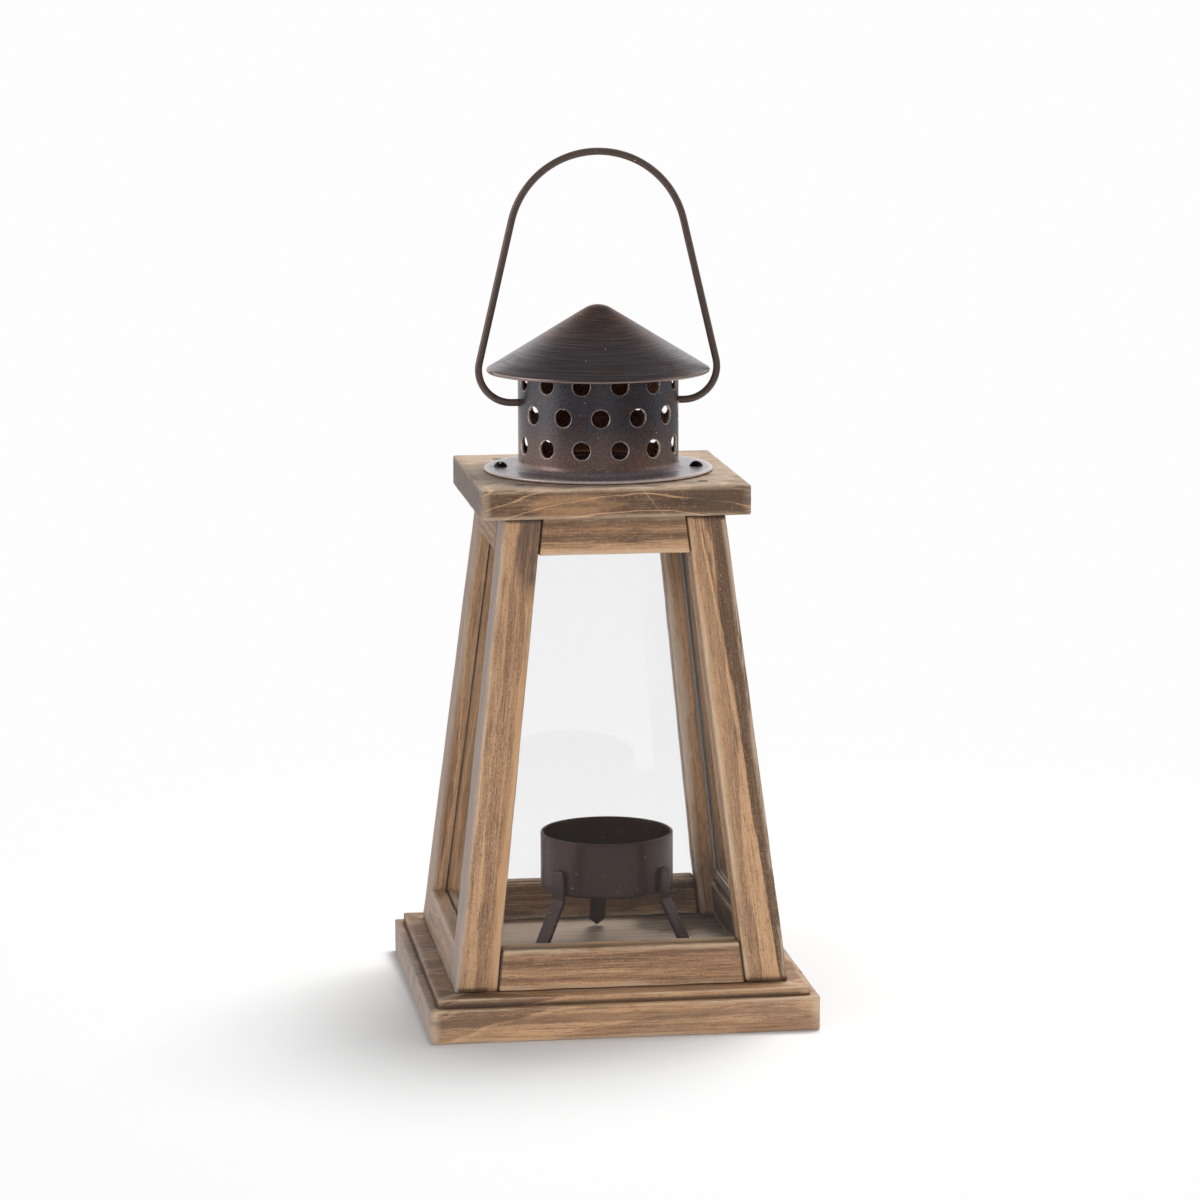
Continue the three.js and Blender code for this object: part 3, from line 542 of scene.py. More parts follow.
class Tree:
    """A node tree that is built by short calls, for a material, the world or a shared group."""

    def __init__(self, tree: bpy.types.NodeTree) -> None:
        """Starts on an empty tree."""
        self.tree = tree
        tree.nodes.clear()

    def feed(self, socket: bpy.types.NodeSocket, value: object) -> None:
        """Links a socket to another, or sets its value."""
        source = value.socket if isinstance(value, Signal) else value
        if isinstance(source, bpy.types.NodeSocket):
            self.tree.links.new(source, socket)
        else:
            socket.default_value = source

    def node(
        self, kind: str, inputs: Optional[dict] = None, **properties: object
    ) -> bpy.types.Node:
        """Adds a shader node.

        Args:
            kind: Its type, without "ShaderNode".
            inputs: What its inputs are linked or set to, by label or number.
            properties: Its own properties, which are set first.

        Returns:
            The node.
        """
        made = self.tree.nodes.new(f"ShaderNode{kind}")
        for name, value in properties.items():
            setattr(made, name, value)
        for label, value in (inputs or {}).items():
            self.feed(made.inputs[label], value)
        return made

    def value(
        self, kind: str, inputs: Optional[dict] = None, output: object = 0, **properties: object
    ) -> Signal:
        """Adds a shader node, as node does, and returns one of its outputs."""
        return Signal(self, self.node(kind, inputs, **properties).outputs[output])

    def math(self, operation: str, *values: object, clamp: bool = False) -> Signal:
        """Adds a Math node and returns its result."""
        return self.value("Math", dict(enumerate(values)), operation=operation, use_clamp=clamp)

    def vector(self, operation: str, *values: object) -> Signal:
        """Adds a Vector Math node.

        Args:
            operation: What it does.
            *values: Its inputs.

        Returns:
            Its result, which is a number for LENGTH and DOT_PRODUCT.
        """
        labels = (0, "Scale" if operation == "SCALE" else 1)
        output = "Value" if operation in ("LENGTH", "DOT_PRODUCT") else 0
        return self.value("VectorMath", dict(zip(labels, values)), output, operation=operation)

    def split(self, vector: object) -> list[Signal]:
        """Returns a vector's three parts."""
        return [Signal(self, part) for part in self.node("SeparateXYZ", {0: vector}).outputs]

    def join(self, x: object, y: object, z: object) -> Signal:
        """Joins three values into a vector."""
        return self.value("CombineXYZ", {0: x, 1: y, 2: z})

    def noise(
        self, vector: object, scale: float, detail: float, rough: float = 0.5, warp: float = 0.0
    ) -> Signal:
        """Returns a Noise Texture's value at a vector."""
        labels = ("Vector", "Scale", "Detail", "Roughness", "Distortion")
        return self.value("TexNoise", dict(zip(labels, (vector, scale, detail, rough, warp))))

    def grain(self, vector: object, scale: Triple, detail: float, rough: float = 0.5) -> Signal:
        """Returns noise that is drawn out, by a scale for each axis."""
        return self.noise(self.vector("MULTIPLY", vector, scale), 1.0, detail, rough)

    def ramp(self, value: object, low: object, high: object, to: tuple = (0.0, 1.0)) -> Signal:
        """Maps a value smoothly from low..high to another range, and holds it past the ends."""
        inputs = dict(enumerate((value, low, high, *to)))
        return self.value("MapRange", inputs, interpolation_type="SMOOTHSTEP")

    def mix(self, share: object, first: object, second: object, blend: str = "MIX") -> Signal:
        """Mixes two colours."""
        inputs = {"Factor": share, 6: first, 7: second}
        return self.value("Mix", inputs, 2, data_type="RGBA", blend_type=blend)

    def attribute(self, name: str) -> Signal:
        """Reads a value that a piece keeps for each point."""
        return self.value("Attribute", None, "Fac", attribute_name=name)

    def place(self) -> Signal:
        """Returns the Object coordinates."""
        return self.value("TexCoord", None, "Object")

    def use(self, name: str, inputs: dict) -> dict[str, Signal]:
        """Adds a shared group and returns its outputs by label."""
        made = self.node("Group", inputs, node_tree=bpy.data.node_groups[name])
        return {output.name: Signal(self, output) for output in made.outputs}

    def paths(self) -> dict[str, Signal]:
        """Returns the Light Path's outputs by label."""
        return {output.name: Signal(self, output) for output in self.node("LightPath").outputs}

    def bump(self, height: Signal, strength: float, distance: float) -> Signal:
        """Returns the normal of a surface raised by a height."""
        return self.value("Bump", {"Strength": strength, "Distance": distance, "Height": height})

    def give(self, outputs: dict[str, Signal]) -> None:
        """Leads values into a group's outputs."""
        end = self.tree.nodes.new("NodeGroupOutput")
        for label, value in outputs.items():
            self.feed(end.inputs[label], value)

    def surface(self, shader: bpy.types.Node, owner: str = "Material") -> None:
        """Leads a shader into the tree's output, for a material or the world."""
        self.node(f"Output{owner}", {"Surface": shader.outputs[0]})


def group(
    name: str, takes: dict[str, object], gives: dict[str, str]
) -> tuple[Tree, dict[str, Signal]]:
    """Starts a shared node group.

    Args:
        name: The group's name.
        takes: Its inputs by label with their usual values: a number, a vector of three or a colour
            of four numbers, or None for a vector that is always linked.
        gives: The kinds of its outputs by label.

    Returns:
        The tree and its inputs by label.
    """
    made = bpy.data.node_groups.new(name, "ShaderNodeTree")
    for label, usual in takes.items():
        parts = 3 if usual is None else np.size(usual)
        kind = {1: "Float", 3: "Vector", 4: "Color"}[parts]
        socket = made.interface.new_socket(label, in_out="INPUT", socket_type=f"NodeSocket{kind}")
        if usual is not None:
            socket.default_value = usual
    for label, kind in gives.items():
        made.interface.new_socket(label, in_out="OUTPUT", socket_type=f"NodeSocket{kind}")
    tree = Tree(made)
    start = made.nodes.new("NodeGroupInput")
    return tree, {label: Signal(tree, start.outputs[label]) for label in takes}


def labelled(finish: object, *skipped: str) -> dict[str, object]:
    """Returns a finish's fields by the labels of the group inputs that they set.

    Args:
        finish: A dataclass, whose field ring_tone sets the input "Ring tone".
        skipped: Fields that set no input.

    Returns:
        The fields' values by label.
    """
    names = [item.name for item in fields(finish) if item.name not in skipped]
    return {name.replace("_", " ").capitalize(): getattr(finish, name) for name in names}


def new_material(name: str) -> tuple[Material, Tree]:
    """Starts a material.

    Args:
        name: Its name.

    Returns:
        The material and its empty tree.
    """
    made = bpy.data.materials.new(name)
    made.use_nodes = True
    return made, Tree(made.node_tree)


def colour(red: int, green: int, blue: int) -> Colour:
    """Turns a screen colour into the linear colour that a shader takes.

    Args:
        red: Its red, from 0 to 255.
        green: Its green.
        blue: Its blue.

    Returns:
        The colour, with alpha.
    """
    parts = [c / 255 for c in (red, green, blue)]
    linear = [c / 12.92 if c <= 0.04045 else ((c + 0.055) / 1.055) ** 2.4 for c in parts]
    return (*linear, 1.0)


# Wood


LIGHT_PINE = colour(196, 154, 116)
MIDDLE_PINE = colour(148, 112, 84)
DARK_PINE = colour(99, 75, 57)
# Char colour of the wood, also used for painted shade where parts meet and in the inside back right
# corner.
CHAR_AND_SHADE_PINE = colour(60, 46, 37)
WORN_PINE = colour(196, 172, 146)


@dataclass(frozen=True)
class Stain:
    """A ragged oval of another colour on a member, in millimetres in its grain space."""

    # Some are real marks, such as charring and golden streaks; others are painted sheen, painted
    # light or painted shadow.
    at: Triple
    size: Triple
    tint: Colour = CHAR_AND_SHADE_PINE
    strength: float = 0.6


@dataclass(frozen=True)
class PineFinish:
    """How one member's pine looks; lengths are in millimetres, in the member's grain space.

    All fields but the stains and the bump are inputs of the Pine group.
    """

    seed: float = 0.0
    pitch: float = 5.0
    pith: Triple = (0.0, 18.0, 12.0)
    slope: float = 0.0
    bow: float = 0.0
    bow_at: float = 0.0
    ring_tone: float = 0.8
    ring_line: float = 0.45
    scorch: float = 0.45
    speckle: float = 0.38
    tone: float = 0.5
    split_way: Triple = (0.0, 1.0, 0.0)
    split_at: float = 0.0
    split_bow: float = 0.0
    split_tone: float = 0.0
    saw: float = 0.0
    light: Colour = LIGHT_PINE
    middle: Colour = MIDDLE_PINE
    dark: Colour = DARK_PINE
    char: Colour = CHAR_AND_SHADE_PINE
    worn: Colour = WORN_PINE
    stains: tuple[Stain, ...] = ()
    bump: float = 0.45

    def inputs(self) -> dict[str, object]:
        """Returns the Pine group's inputs that the finish sets, by label."""
        return labelled(self, "stains", "bump")

    def material(self, name: str, centre: Vector, along: Vector, across: Vector) -> Material:
        """Makes the member's material.

        Args:
            name: The material's name.
            centre: The member's middle.
            along: The direction of its grain.
            across: A direction across its grain.

        Returns:
            The material.
        """
        made, t = new_material(name)
        x = along.normalized()
        z = x.cross(across).normalized()
        turn = Matrix((x, z.cross(x), z))
        to_grain = {
            "Vector": t.place(), "Location": -(turn @ centre) / MM, "Rotation": turn.to_euler(),
            "Scale": (1 / MM,) * 3,
        }
        here = t.value("Mapping", to_grain, vector_type="POINT")
        wood = t.use("Pine", {**self.inputs(), "Vector": here, "Wear": t.attribute("wear")})
        body = wood["Color"]
        for stain_or_light in self.stains:
            body = t.use("Stain", {**labelled(stain_or_light), "Vector": here, "Color": body})["Color"]
        t.surface(t.node("BsdfPrincipled", {
            "Base Color": body, "Roughness": wood["Roughness"], "Specular IOR Level": 0.4,
            "Normal": t.bump(wood["Height"], self.bump, 0.12 * MM),
        }))
        return made


def pine_group() -> None:
    """Builds the shared group for stained, scorched and brushed pine.

    The vector is in millimetres with X along the grain. The growth rings are circles round a pith
    that runs along X with a slope and a slow bend, and a bow that grows with X squared makes
    arches of them: ring = (distance from the pith + bow) / pitch. Each ring has a tone of its own,
    darkens towards its edge and ends in a narrow pale line. Fibres are noise drawn out along X.
    The split is where one kind of wood meets another: its distance is the place along the split's
    own direction, less an offset, plus a bow of its own.
    """
    takes = {"Vector": None, "Wear": 0.0, **PineFinish().inputs()}
    t, put = group("Pine", takes, {"Color": "Color", "Roughness": "Float", "Height": "Float"})
    here = t.vector("ADD", put["Vector"], t.vector("SCALE", (13.7, 7.9, 23.1), put["Seed"]))
    x, y, z = t.split(put["Vector"])
    sway = t.grain(here, (0.012, 0.02, 0.02), 1.0)
    ripples = t.grain(here, (0.05, 0.25, 0.25), 3.0, 0.55)
    streak = t.grain(here, (0.01, 0.34, 0.34), 4.0, 0.66)
    fibre = t.grain(here, (0.05, 2.1, 2.1), 4.0, 0.8)
    thread = t.grain(here, (0.2, 3.0, 3.0), 3.0, 0.75)
    cloud = t.grain(here, (0.03, 0.09, 0.09), 3.0, 0.55)
    grit = t.noise(here, 1.7, 3.0, 0.66)

    # Growth rings
    _, pith_y, pith_z = t.split(put["Pith"])
    aside = t.math("MULTIPLY_ADD", x, put["Slope"], (sway - 0.5) * 14.0)
    away = t.math("POWER", y + aside - pith_y, 2.0) + t.math("POWER", z - pith_z, 2.0)
    arch = (x - put["Bow at"]) * 0.02
    radius = t.math("SQRT", away) + (ripples - 0.5) * 3.2 + arch * arch * put["Bow"]
    ring = radius / put["Pitch"]
    whole, part = t.math("FLOOR", ring), t.math("FRACT", ring)
    late = t.ramp(part, 0.3, 0.86) * t.ramp(part, 0.93, 0.87)
    line = t.ramp(part, 0.86, 0.93) * t.ramp(part, 1.0, 0.95)
    this, last = (
        t.value("TexWhiteNoise", {"W": whole + step + put["Seed"]}, noise_dimensions="1D")
        for step in (0.0, -1.0)
    )
    settled = t.ramp(part, 0.0, 0.08)
    band = this * settled + last * (1.0 - settled)

    # The split between two kinds of wood
    far = x * 0.02
    way = t.vector("DOT_PRODUCT", put["Vector"], put["Split way"])
    split = way + far * far * put["Split bow"] - put["Split at"] + (ripples - 0.5) * 2.6
    beyond = t.ramp(split, -0.15, 0.2) * put["Split tone"]
    seam = t.ramp(abs(split), 0.6, 0.2) * abs(put["Split tone"])

    # Colours, each laid over those before it
    light = (streak - 0.5) * 2.2 + (band - 0.5) * put["Ring tone"] + put["Tone"] - beyond
    airy = t.ramp(light, -0.8, 0.6, (0.1, 0.4))
    burnt = cloud + (streak - 0.5) * 0.5 + (put["Scorch"] - 0.5) * 0.5
    specks = t.ramp(grit, 0.58, 0.66) * put["Speckle"]
    flecks = t.ramp(grit, 0.41, 0.35) * put["Speckle"]
    teeth = t.math("SINE", (x + (y + z) * 1.3) * 5.2)
    hatch = t.ramp(teeth, 0.1, 0.9) * t.ramp(cloud, 0.42, 0.62) * put["Saw"]
    rubbed = put["Wear"] * t.ramp(cloud + thread, 0.8, 1.1)
    body = t.mix(t.ramp(light, 0.2, 0.95), put["Middle"], put["Light"])
    for share, tint in (
        (t.ramp(light, 0.34, -0.25), "Dark"),
        (late * (put["Ring line"] * 0.7), "Dark"),
        (line.over(seam) * put["Ring line"], "Light"),
        (t.ramp(fibre, 0.51, 0.6) * 0.5, "Dark"),
        (t.ramp(fibre, 0.475, 0.39) * airy, "Light"),
        (t.ramp(burnt, 0.5, 0.78) * 0.75, "Char"),
        (specks, "Char"),
        (flecks * 0.7, "Worn"),
        (t.ramp(thread, 0.57, 0.65) * 0.55, "Char"),
        (t.ramp(thread, 0.42, 0.34) * airy, "Worn"),
        (hatch, "Worn"),
        (rubbed * 0.8, "Worn"),
        # Painted shade: wear below zero darkens towards the char colour where parts meet.
        (t.ramp(put["Wear"], 0.0, -0.8) * 0.85, "Char"),
    ):
        body = t.mix(share, body, put[tint])
    height = (0.5 - fibre) * 0.9 + (0.5 - thread) * 0.6 + line * 0.5 - (specks + hatch) * 0.5
    t.give({"Color": body, "Roughness": 0.44 + fibre * 0.2 + line * -0.06, "Height": height})


def stain_and_light_group() -> None:
    """Builds the shared group for a ragged oval of colour, such as charring, a golden streak,
    weather greying, painted sheen, painted light or painted shadow.

    The distance is the length of (place - middle) / size, made ragged by noise along the grain.
    """
    usual = Stain((0.0, 0.0, 0.0), (20.0, 5.0, 5.0))
    takes = {"Vector": None, "Color": MIDDLE_PINE, **labelled(usual)}
    t, put = group("Stain", takes, {"Color": "Color"})
    offset = t.vector("SUBTRACT", put["Vector"], put["At"])
    far = t.vector("LENGTH", t.vector("DIVIDE", offset, put["Size"]))
    long = t.grain(put["Vector"], (0.03, 0.5, 0.5), 4.0, 0.7)
    broad = t.grain(put["Vector"], (0.1, 0.2, 0.2), 3.0, 0.6)
    mask = t.ramp(far + (long + broad - 1.0) * 1.1, 1.15, 0.7)
    share = mask * put["Strength"] * t.ramp(long, 0.38, 0.62, (0.65, 1.2))
    t.give({"Color": t.mix(share, put["Color"], put["Tint"])})


@dataclass
class Side:
    """A leaning side of the housing.

    A point on it has a distance across, from the side's middle, a depth below its outer face and
    a height. Across and depth turn into X and Y by the side's own two directions.
    """

    across: Pair
    outward: Pair
    foot_out: float
    head_out: float
    foot_clear: float
    head_clear: float
    levels: Pair

    def share(self, z: Array) -> Array:
        """Returns how far up the housing a height is, from 0 to 1."""
        return (z - self.levels[0]) / (self.levels[1] - self.levels[0])

    def out(self, z: Array) -> Array:
        """Returns the distance from the housing's axis to the outer face."""
        return self.foot_out + (self.head_out - self.foot_out) * self.share(z)

    def clear(self, z: Array) -> Array:
        """Returns half the gap between the side's two legs."""
        return self.foot_clear + (self.head_clear - self.foot_clear) * self.share(z)

    def place(self, across: Array, depth: Array, z: Array) -> Array:
        """Works out points of the side.

        Args:
            across: Distances across, from the side's middle.
            depth: Depths below the outer face.
            z: Heights.

        Returns:
            The points, with X, Y and Z along the last axis.
        """
        out = self.out(z) - depth
        x = across * self.across[0] + out * self.outward[0]
        y = across * self.across[1] + out * self.outward[1]
        return np.stack(np.broadcast_arrays(x, y, z), axis=-1)

    def direction(self, across: float, depth: float) -> Vector:
        """Works out a level direction.

        Args:
            across: Its part along the side.
            depth: Its part inward.

        Returns:
            The direction.
        """
        x = across * self.across[0] - depth * self.outward[0]
        y = across * self.across[1] - depth * self.outward[1]
        return Vector((x, y, 0.0))


@dataclass
class Housing:
    """The wooden housing: a stepped base, four leaning legs, eight rails and a top board."""

    foot: Pair = (103.4 * MM, 100.8 * MM)
    head: Pair = (68.4 * MM, 72.2 * MM)
    leg_section: Pair = (13.2 * MM, 12.0 * MM)
    rail_thickness: float = 9.0 * MM
    lip_height: float = 10.5 * MM
    step_inset: float = 2.7 * MM
    base_corner: float = 0.9 * MM
    top_corner: float = 0.7 * MM
    # Lightens the top board's top face: weathering, and painted light from above.
    top_wear: float = 0.7
    # Painted shade: how dark the ends of members are made where they meet other parts.
    joint_grime: float = -0.8
    vent_radius: float = 21.0 * MM
    easing: float = 0.6 * MM
    leg_edge: float = 0.7 * MM
    rail_edge: float = 0.5 * MM
    crisp_edge: float = 0.12 * MM
    edge_change: Pair = (0.3, 0.35)
    leg_ends: Pair = (0.3 * MM, 0.08 * MM)
    rail_ends: Pair = (0.25 * MM, 0.07 * MM)
    joint_gap: float = 0.2 * MM
    groove: Triple = (4.8 * MM, 7.2 * MM, 3.0 * MM)
    rebate: Pair = (3.0 * MM, 8.1 * MM)
    screw_hole: Pair = (3.2 * MM, 0.8 * MM)
    nail_hole: Pair = (1.6 * MM, 0.8 * MM)
    bumps: Pair = (16.0 * MM, 4.0 * MM)
    bump_height: float = 0.1 * MM
    step: float = 1.3 * MM
    levels: dict[str, float] = field(init=False)
    sides: dict[str, Side] = field(init=False)
    base_half: Pair = field(init=False)
    top_half: Pair = field(init=False)

    def __post_init__(self) -> None:
        """Takes the levels from the frame and works out the four sides."""
        base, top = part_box("base_board"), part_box("top_board")
        sill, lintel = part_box("bottom_rail_front")[1].z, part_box("top_rail_front")[0].z
        self.levels = {
            "base": base[1].z, "sill": sill, "lintel": lintel, "head": top[0].z, "top": top[1].z
        }
        self.base_half = (base[1].x, base[1].y)
        self.top_half = (top[1].x, top[1].y)
        ends = (self.levels["base"], self.levels["head"])
        foot_x, foot_y = (size / 2 for size in self.foot)
        head_x, head_y = (size / 2 for size in self.head)
        foot_leg, head_leg = self.leg_section
        deep = (foot_y, head_y, foot_x - foot_leg, head_x - head_leg, ends)
        wide = (foot_x, head_x, foot_y - foot_leg, head_y - head_leg, ends)
        self.sides = {
            "front": Side((1, 0), (0, -1), *deep),
            "back": Side((-1, 0), (0, 1), *deep),
            "left": Side((0, -1), (-1, 0), *wide),
            "right": Side((0, 1), (1, 0), *wide),
        }

    def rail(self, name: str, side: Side, finish: PineFinish, ends: Pair, grooved: int) -> None:
        """Builds a rail between two legs.

        Its section, depth by height with a groove for the glass, is carried across the side. At a
        share s of the way it lies (2 s - 1) times the clear half width at each point's own height.

        Args:
            name: The rail's node.
            side: The side that it is in.
            finish: Its wood.
            ends: Its lower and its upper edge.
            grooved: 1 with a groove in its upper edge, -1 in its lower edge and 0 with none.
        """
        low, high = ends
        thick = self.rail_thickness
        inner, outer, deep = self.groove
        foot, edge = (high, low) if grooved < 0 else (low, high)
        bed = edge - grooved * deep
        notch = [(outer, edge), (outer, bed), (inner, bed), (inner, edge)] if grooved else []
        corners = [(0, foot), (thick, foot), (thick, edge), *notch, (0, edge)]
        worn = [1, 1, 1, *([0.5, 0, 0, 0.8] if grooved else []), 1]
        if grooved < 0:
            corners, worn = corners[::-1], worn[::-1]
        rows = max(24, int(2 * side.foot_clear / self.step))
        share = np.concatenate([[0.0, 0.004], np.linspace(0.012, 0.988, rows), [0.996, 1.0]])
        ring = np.repeat(np.array(corners, dtype=float)[None], len(share), axis=0)
        ring = drawn_in(ring, eased_ends(len(share), self.rail_ends))
        radius = np.where(np.array(worn) > 0.4, self.rail_edge, self.crisp_edge)
        radius = radius * (1 + self.edge_change[1] * np.sin(share * 23 + finish.seed)[:, None])
        worn_rows = np.ones((len(share), 1)) * np.array(worn)
        section, wear = outline(ring, radius, worn_rows, edge_parts(ring[2], self.step))
        # Painted shade: the end rings, where the rail meets the legs.
        wear[[0, 1, -2, -1]] = self.joint_grime
        depth, z = section[..., 0], section[..., 1]
        across = (2 * share[:, None] - 1) * (side.clear(z) - self.joint_gap)
        points = self.handmade(side.place(across, depth, z), finish)
        lean = side.place(0.0, 0.0, np.array([low, high]))
        upward = Vector(lean[1] - lean[0])
        self.member(name, Skin(points, wear), finish, side.direction(1, 0), upward)

    def handmade(self, points: Array, finish: PineFinish) -> Array:
        """Makes a member's faces slightly uneven, by a ripple along its normals.

        The ripple fades out over the last rings at each end, so that the joints stay closed.

        Args:
            points: The member's grid.
            finish: Its wood, whose seed chooses the ripple.

        Returns:
            The grid with its points moved.
        """
        seed, height = int(finish.seed), self.bump_height
        long, short = self.bumps
        bumps = ripple(points, seed, long, height) + ripple(points, seed + 1, short, 0.3 * height)
        bumps[:2] = 0
        bumps[-2:] = 0
        return points + normals(points) * (bumps - 0.6 * height)[..., None]

    def member(
        self, name: str, skin: Skin, finish: PineFinish, along: Vector, across: Vector
    ) -> None:
        """Makes a rail or leg from its skin, with the grain along one direction.

        Args:
            name: The member's node.
            skin: Its grid.
            finish: Its wood.
            along: The direction of its grain.
            across: A direction across its grain.
        """
        centre = Vector(skin.points.reshape(-1, 3).mean(axis=0))
        material = finish.material(f"{name} pine", centre, along, across)
        place(from_grid(f"{name}_wood", skin), Body.HOUSING, "housing_wood", material, name)

    def leg(self, name: str, corner: tuple[int, int], finish: PineFinish, rebated: bool) -> None:
        """Builds a leg: a square section, in from both outer faces, that shrinks and leans.

        In the section, u runs in from the leg's outer end face and v in from its other outer face,
        both in metres, and grooves for the glass are cut into the two inner faces.

        Args:
            name: The leg's node.
            corner: The signs of X and Y at its corner of the housing.
            finish: Its wood.
            rebated: Whether the door closes into its side instead of a groove.
        """
        low, high = self.levels["base"] + self.joint_gap, self.levels["head"] - self.joint_gap
        sill, lintel = self.levels["sill"], self.levels["lintel"]
        rise = np.linspace(low + 0.6 * MM, high - 0.6 * MM, int((high - low) / self.step))
        breaks = [sill, sill, lintel, lintel] if rebated else []
        z = np.sort(np.concatenate([[low, low + 0.2 * MM, high - 0.2 * MM, high], rise, breaks]))
        foot, head = self.leg_section
        size = foot + (head - foot) * self.sides["front"].share(z)
        opened = np.zeros(len(z), dtype=bool)
        if rebated:
            first = int(np.searchsorted(z, sill, side="right")) - 1
            last = int(np.searchsorted(z, lintel, side="left"))
            opened[first : last + 1] = True
        inner, outer, deep = self.groove
        lap, rest = self.rebate
        zero = np.zeros(len(z))

        def at(u: Array, v: Array) -> Array:
            """Joins two section coordinates."""
            return np.stack(np.broadcast_arrays(u + zero, v + zero), axis=-1)

        corners = [
            at(0.0, 0.0), at(size, 0.0),
            at(size, inner), at(size - deep, inner), at(size - deep, outer), at(size, outer),
            at(size, size),
        ]
        worn = [1, 1, 0.3, 0, 0, 0.3, 1]
        if rebated:
            turn_u = np.where(opened, rest, 0.0)
            turn_v = np.where(opened, size - lap, size)
            corners += [at(rest, size), at(turn_u, turn_v), at(0.0, size - lap)]
            worn += [0.4, 1, 0.4]
        else:
            low = size - deep
            corners += [at(outer, size), at(outer, low), at(inner, low), at(inner, size)]
            corners += [at(0.0, size)]
            worn += [0.3, 0, 0, 0.3, 1]
        ring = drawn_in(np.stack(corners, axis=1), eased_ends(len(z), self.leg_ends))
        radius = np.where(np.array(worn) > 0.9, self.leg_edge, self.crisp_edge)
        radius = radius * (1 + self.edge_change[0] * np.sin(z * 180 + finish.seed)[:, None])
        worn_rows = np.ones((len(z), 1)) * np.array(worn, dtype=float)
        if rebated:
            radius[~opened, 8] = self.leg_edge
            radius[opened, 8] = self.crisp_edge
            radius[:, [7, 9]] = self.crisp_edge
            worn_rows[opened, 8] = 0.0
        section, wear = outline(ring, radius, worn_rows, edge_parts(ring[len(z) // 2], self.step))
        # Painted shade: the end rings, where the leg meets the base and the top board.
        wear[[0, 1, 2, -3, -2, -1]] = self.joint_grime
        u, v = section[..., 0], section[..., 1]
        height = z[:, None] + np.zeros_like(u)
        sign_x, sign_y = corner
        x = sign_x * (self.sides["right"].out(height) - u)
        y = sign_y * (self.sides["back"].out(height) - v)
        points = np.stack([x, y, height], axis=-1)
        if sign_x * sign_y < 0:
            points, wear = points[:, ::-1], wear[:, ::-1]
        points = self.handmade(points, finish)
        along = Vector(points[-1].mean(axis=0) - points[0].mean(axis=0))
        self.member(name, Skin(points, wear), finish, along, Vector((1.0, 0.0, 0.0)))

    def rectangle(self, half: Pair, inset: Array, radius: float) -> tuple[Array, Array]:
        """Samples rounded rectangles about the Z axis.

        Args:
            half: Half of their width and depth.
            inset: How far each is drawn in.
            radius: Their corners' radius.

        Returns:
            Points, rectangles x points x 2, and their wear.
        """
        x, y = half
        corners = np.array([[[x, y], [-x, y], [-x, -y], [x, -y]]] * len(inset))
        radii = np.full((len(inset), 4), radius)
        steps = [int(2 * size / (2 * self.step)) for size in (x, y, x, y)]
        return outline(drawn_in(corners, inset), radii, np.ones((len(inset), 4)), steps, 4)

    def base(self, finish: PineFinish) -> None:
        """Builds the base board: rounded rectangles carried up a stepped profile of insets.

        Args:
            finish: Its wood.
        """
        ease, top, lip, step = self.easing, self.levels["base"], self.lip_height, self.step_inset
        soft = arc((ease, ease), ease, 270, 180, 3)
        rise = stretch([[0.0, ease + MM], [0.0, lip - MM]], self.step)
        profile = np.concatenate([
            [[12 * MM, 0.0], [6 * MM, 0.0], [2 * MM, 0.0]],
            soft,
            rise,
            arc((0.4 * ease, lip - 0.4 * ease), 0.4 * ease, 180, 90, 3),
            [[step - 0.6 * MM, lip], [step, lip], [step, lip + 0.3 * MM], [step, top - 0.8 * MM]],
            arc((step + 0.5 * ease, top - 0.5 * ease), 0.5 * ease, 180, 90, 3),
            [[step + 1.5 * MM, top], [step + 5 * MM, top], [step + 12 * MM, top]],
        ])
        plan, wear = self.rectangle(self.base_half, profile[:, 0], self.base_corner)
        points = lifted(plan, profile[:, 1])
        exposed = np.zeros(len(profile))
        start = 3 + len(soft)
        lip_start = start + len(rise)
        exposed[3:start] = 0.6
        exposed[lip_start : lip_start + 4] = 1
        exposed[-7:-3] = 1
        wear = np.maximum(wear, exposed[:, None])
        # Painted shade in the crease where the ledge meets the step.
        wear[lip_start + 5 : lip_start + 7] = self.joint_grime
        bumps = ripple(points, 3, 15 * MM, 0.12 * MM) + ripple(points, 4, 3 * MM, 0.05 * MM)
        bumps[:5] = 0
        facing = normals(points)
        away = np.sum(facing[..., :2] * points[..., :2], axis=-1, keepdims=True)
        outward = facing * np.where(away.mean() < 0, -1.0, 1.0)
        points = points + outward * np.minimum(bumps - 0.08 * MM, 0)[..., None]
        piece = from_grid("base_board_wood", Skin(points, wear))
        hole, deep = self.screw_hole
        holes = [plan_middle(f"base_screw_{corner}") for corner in CORNERS]
        cut(piece, [rod(hole, -MM, deep, at) for at in holes])
        self.board("base_board", "base_wood", piece, finish, top / 2)

    def top(self, finish: PineFinish) -> None:
        """Builds the top board, with its vent.

        Each ring of the faces is a share s of the way from the vent's circle to the board's
        rectangle: ring = (1 - s) circle + s rectangle. The circle's points are at the angles of
        the rectangle's.

        Args:
            finish: Its wood.
        """
        low, high, ease = self.levels["head"], self.levels["top"], self.easing
        soft = np.concatenate([
            arc((ease, low + ease), ease, 270, 180, 3),
            stretch([[0.0, low + ease + MM], [0.0, high - ease - MM]], self.step),
            arc((ease, high - ease), ease, 180, 90, 3),
        ])
        plan, wear = self.rectangle(self.top_half, soft[:, 0], self.top_corner)
        sides = lifted(plan, soft[:, 1])
        exposed = np.zeros(len(soft))
        exposed[:4] = 0.7
        exposed[-4:] = 1
        wear = np.maximum(wear, exposed[:, None])
        flat = (1 - np.linspace(0, 1, 12) ** 1.5)[1:]

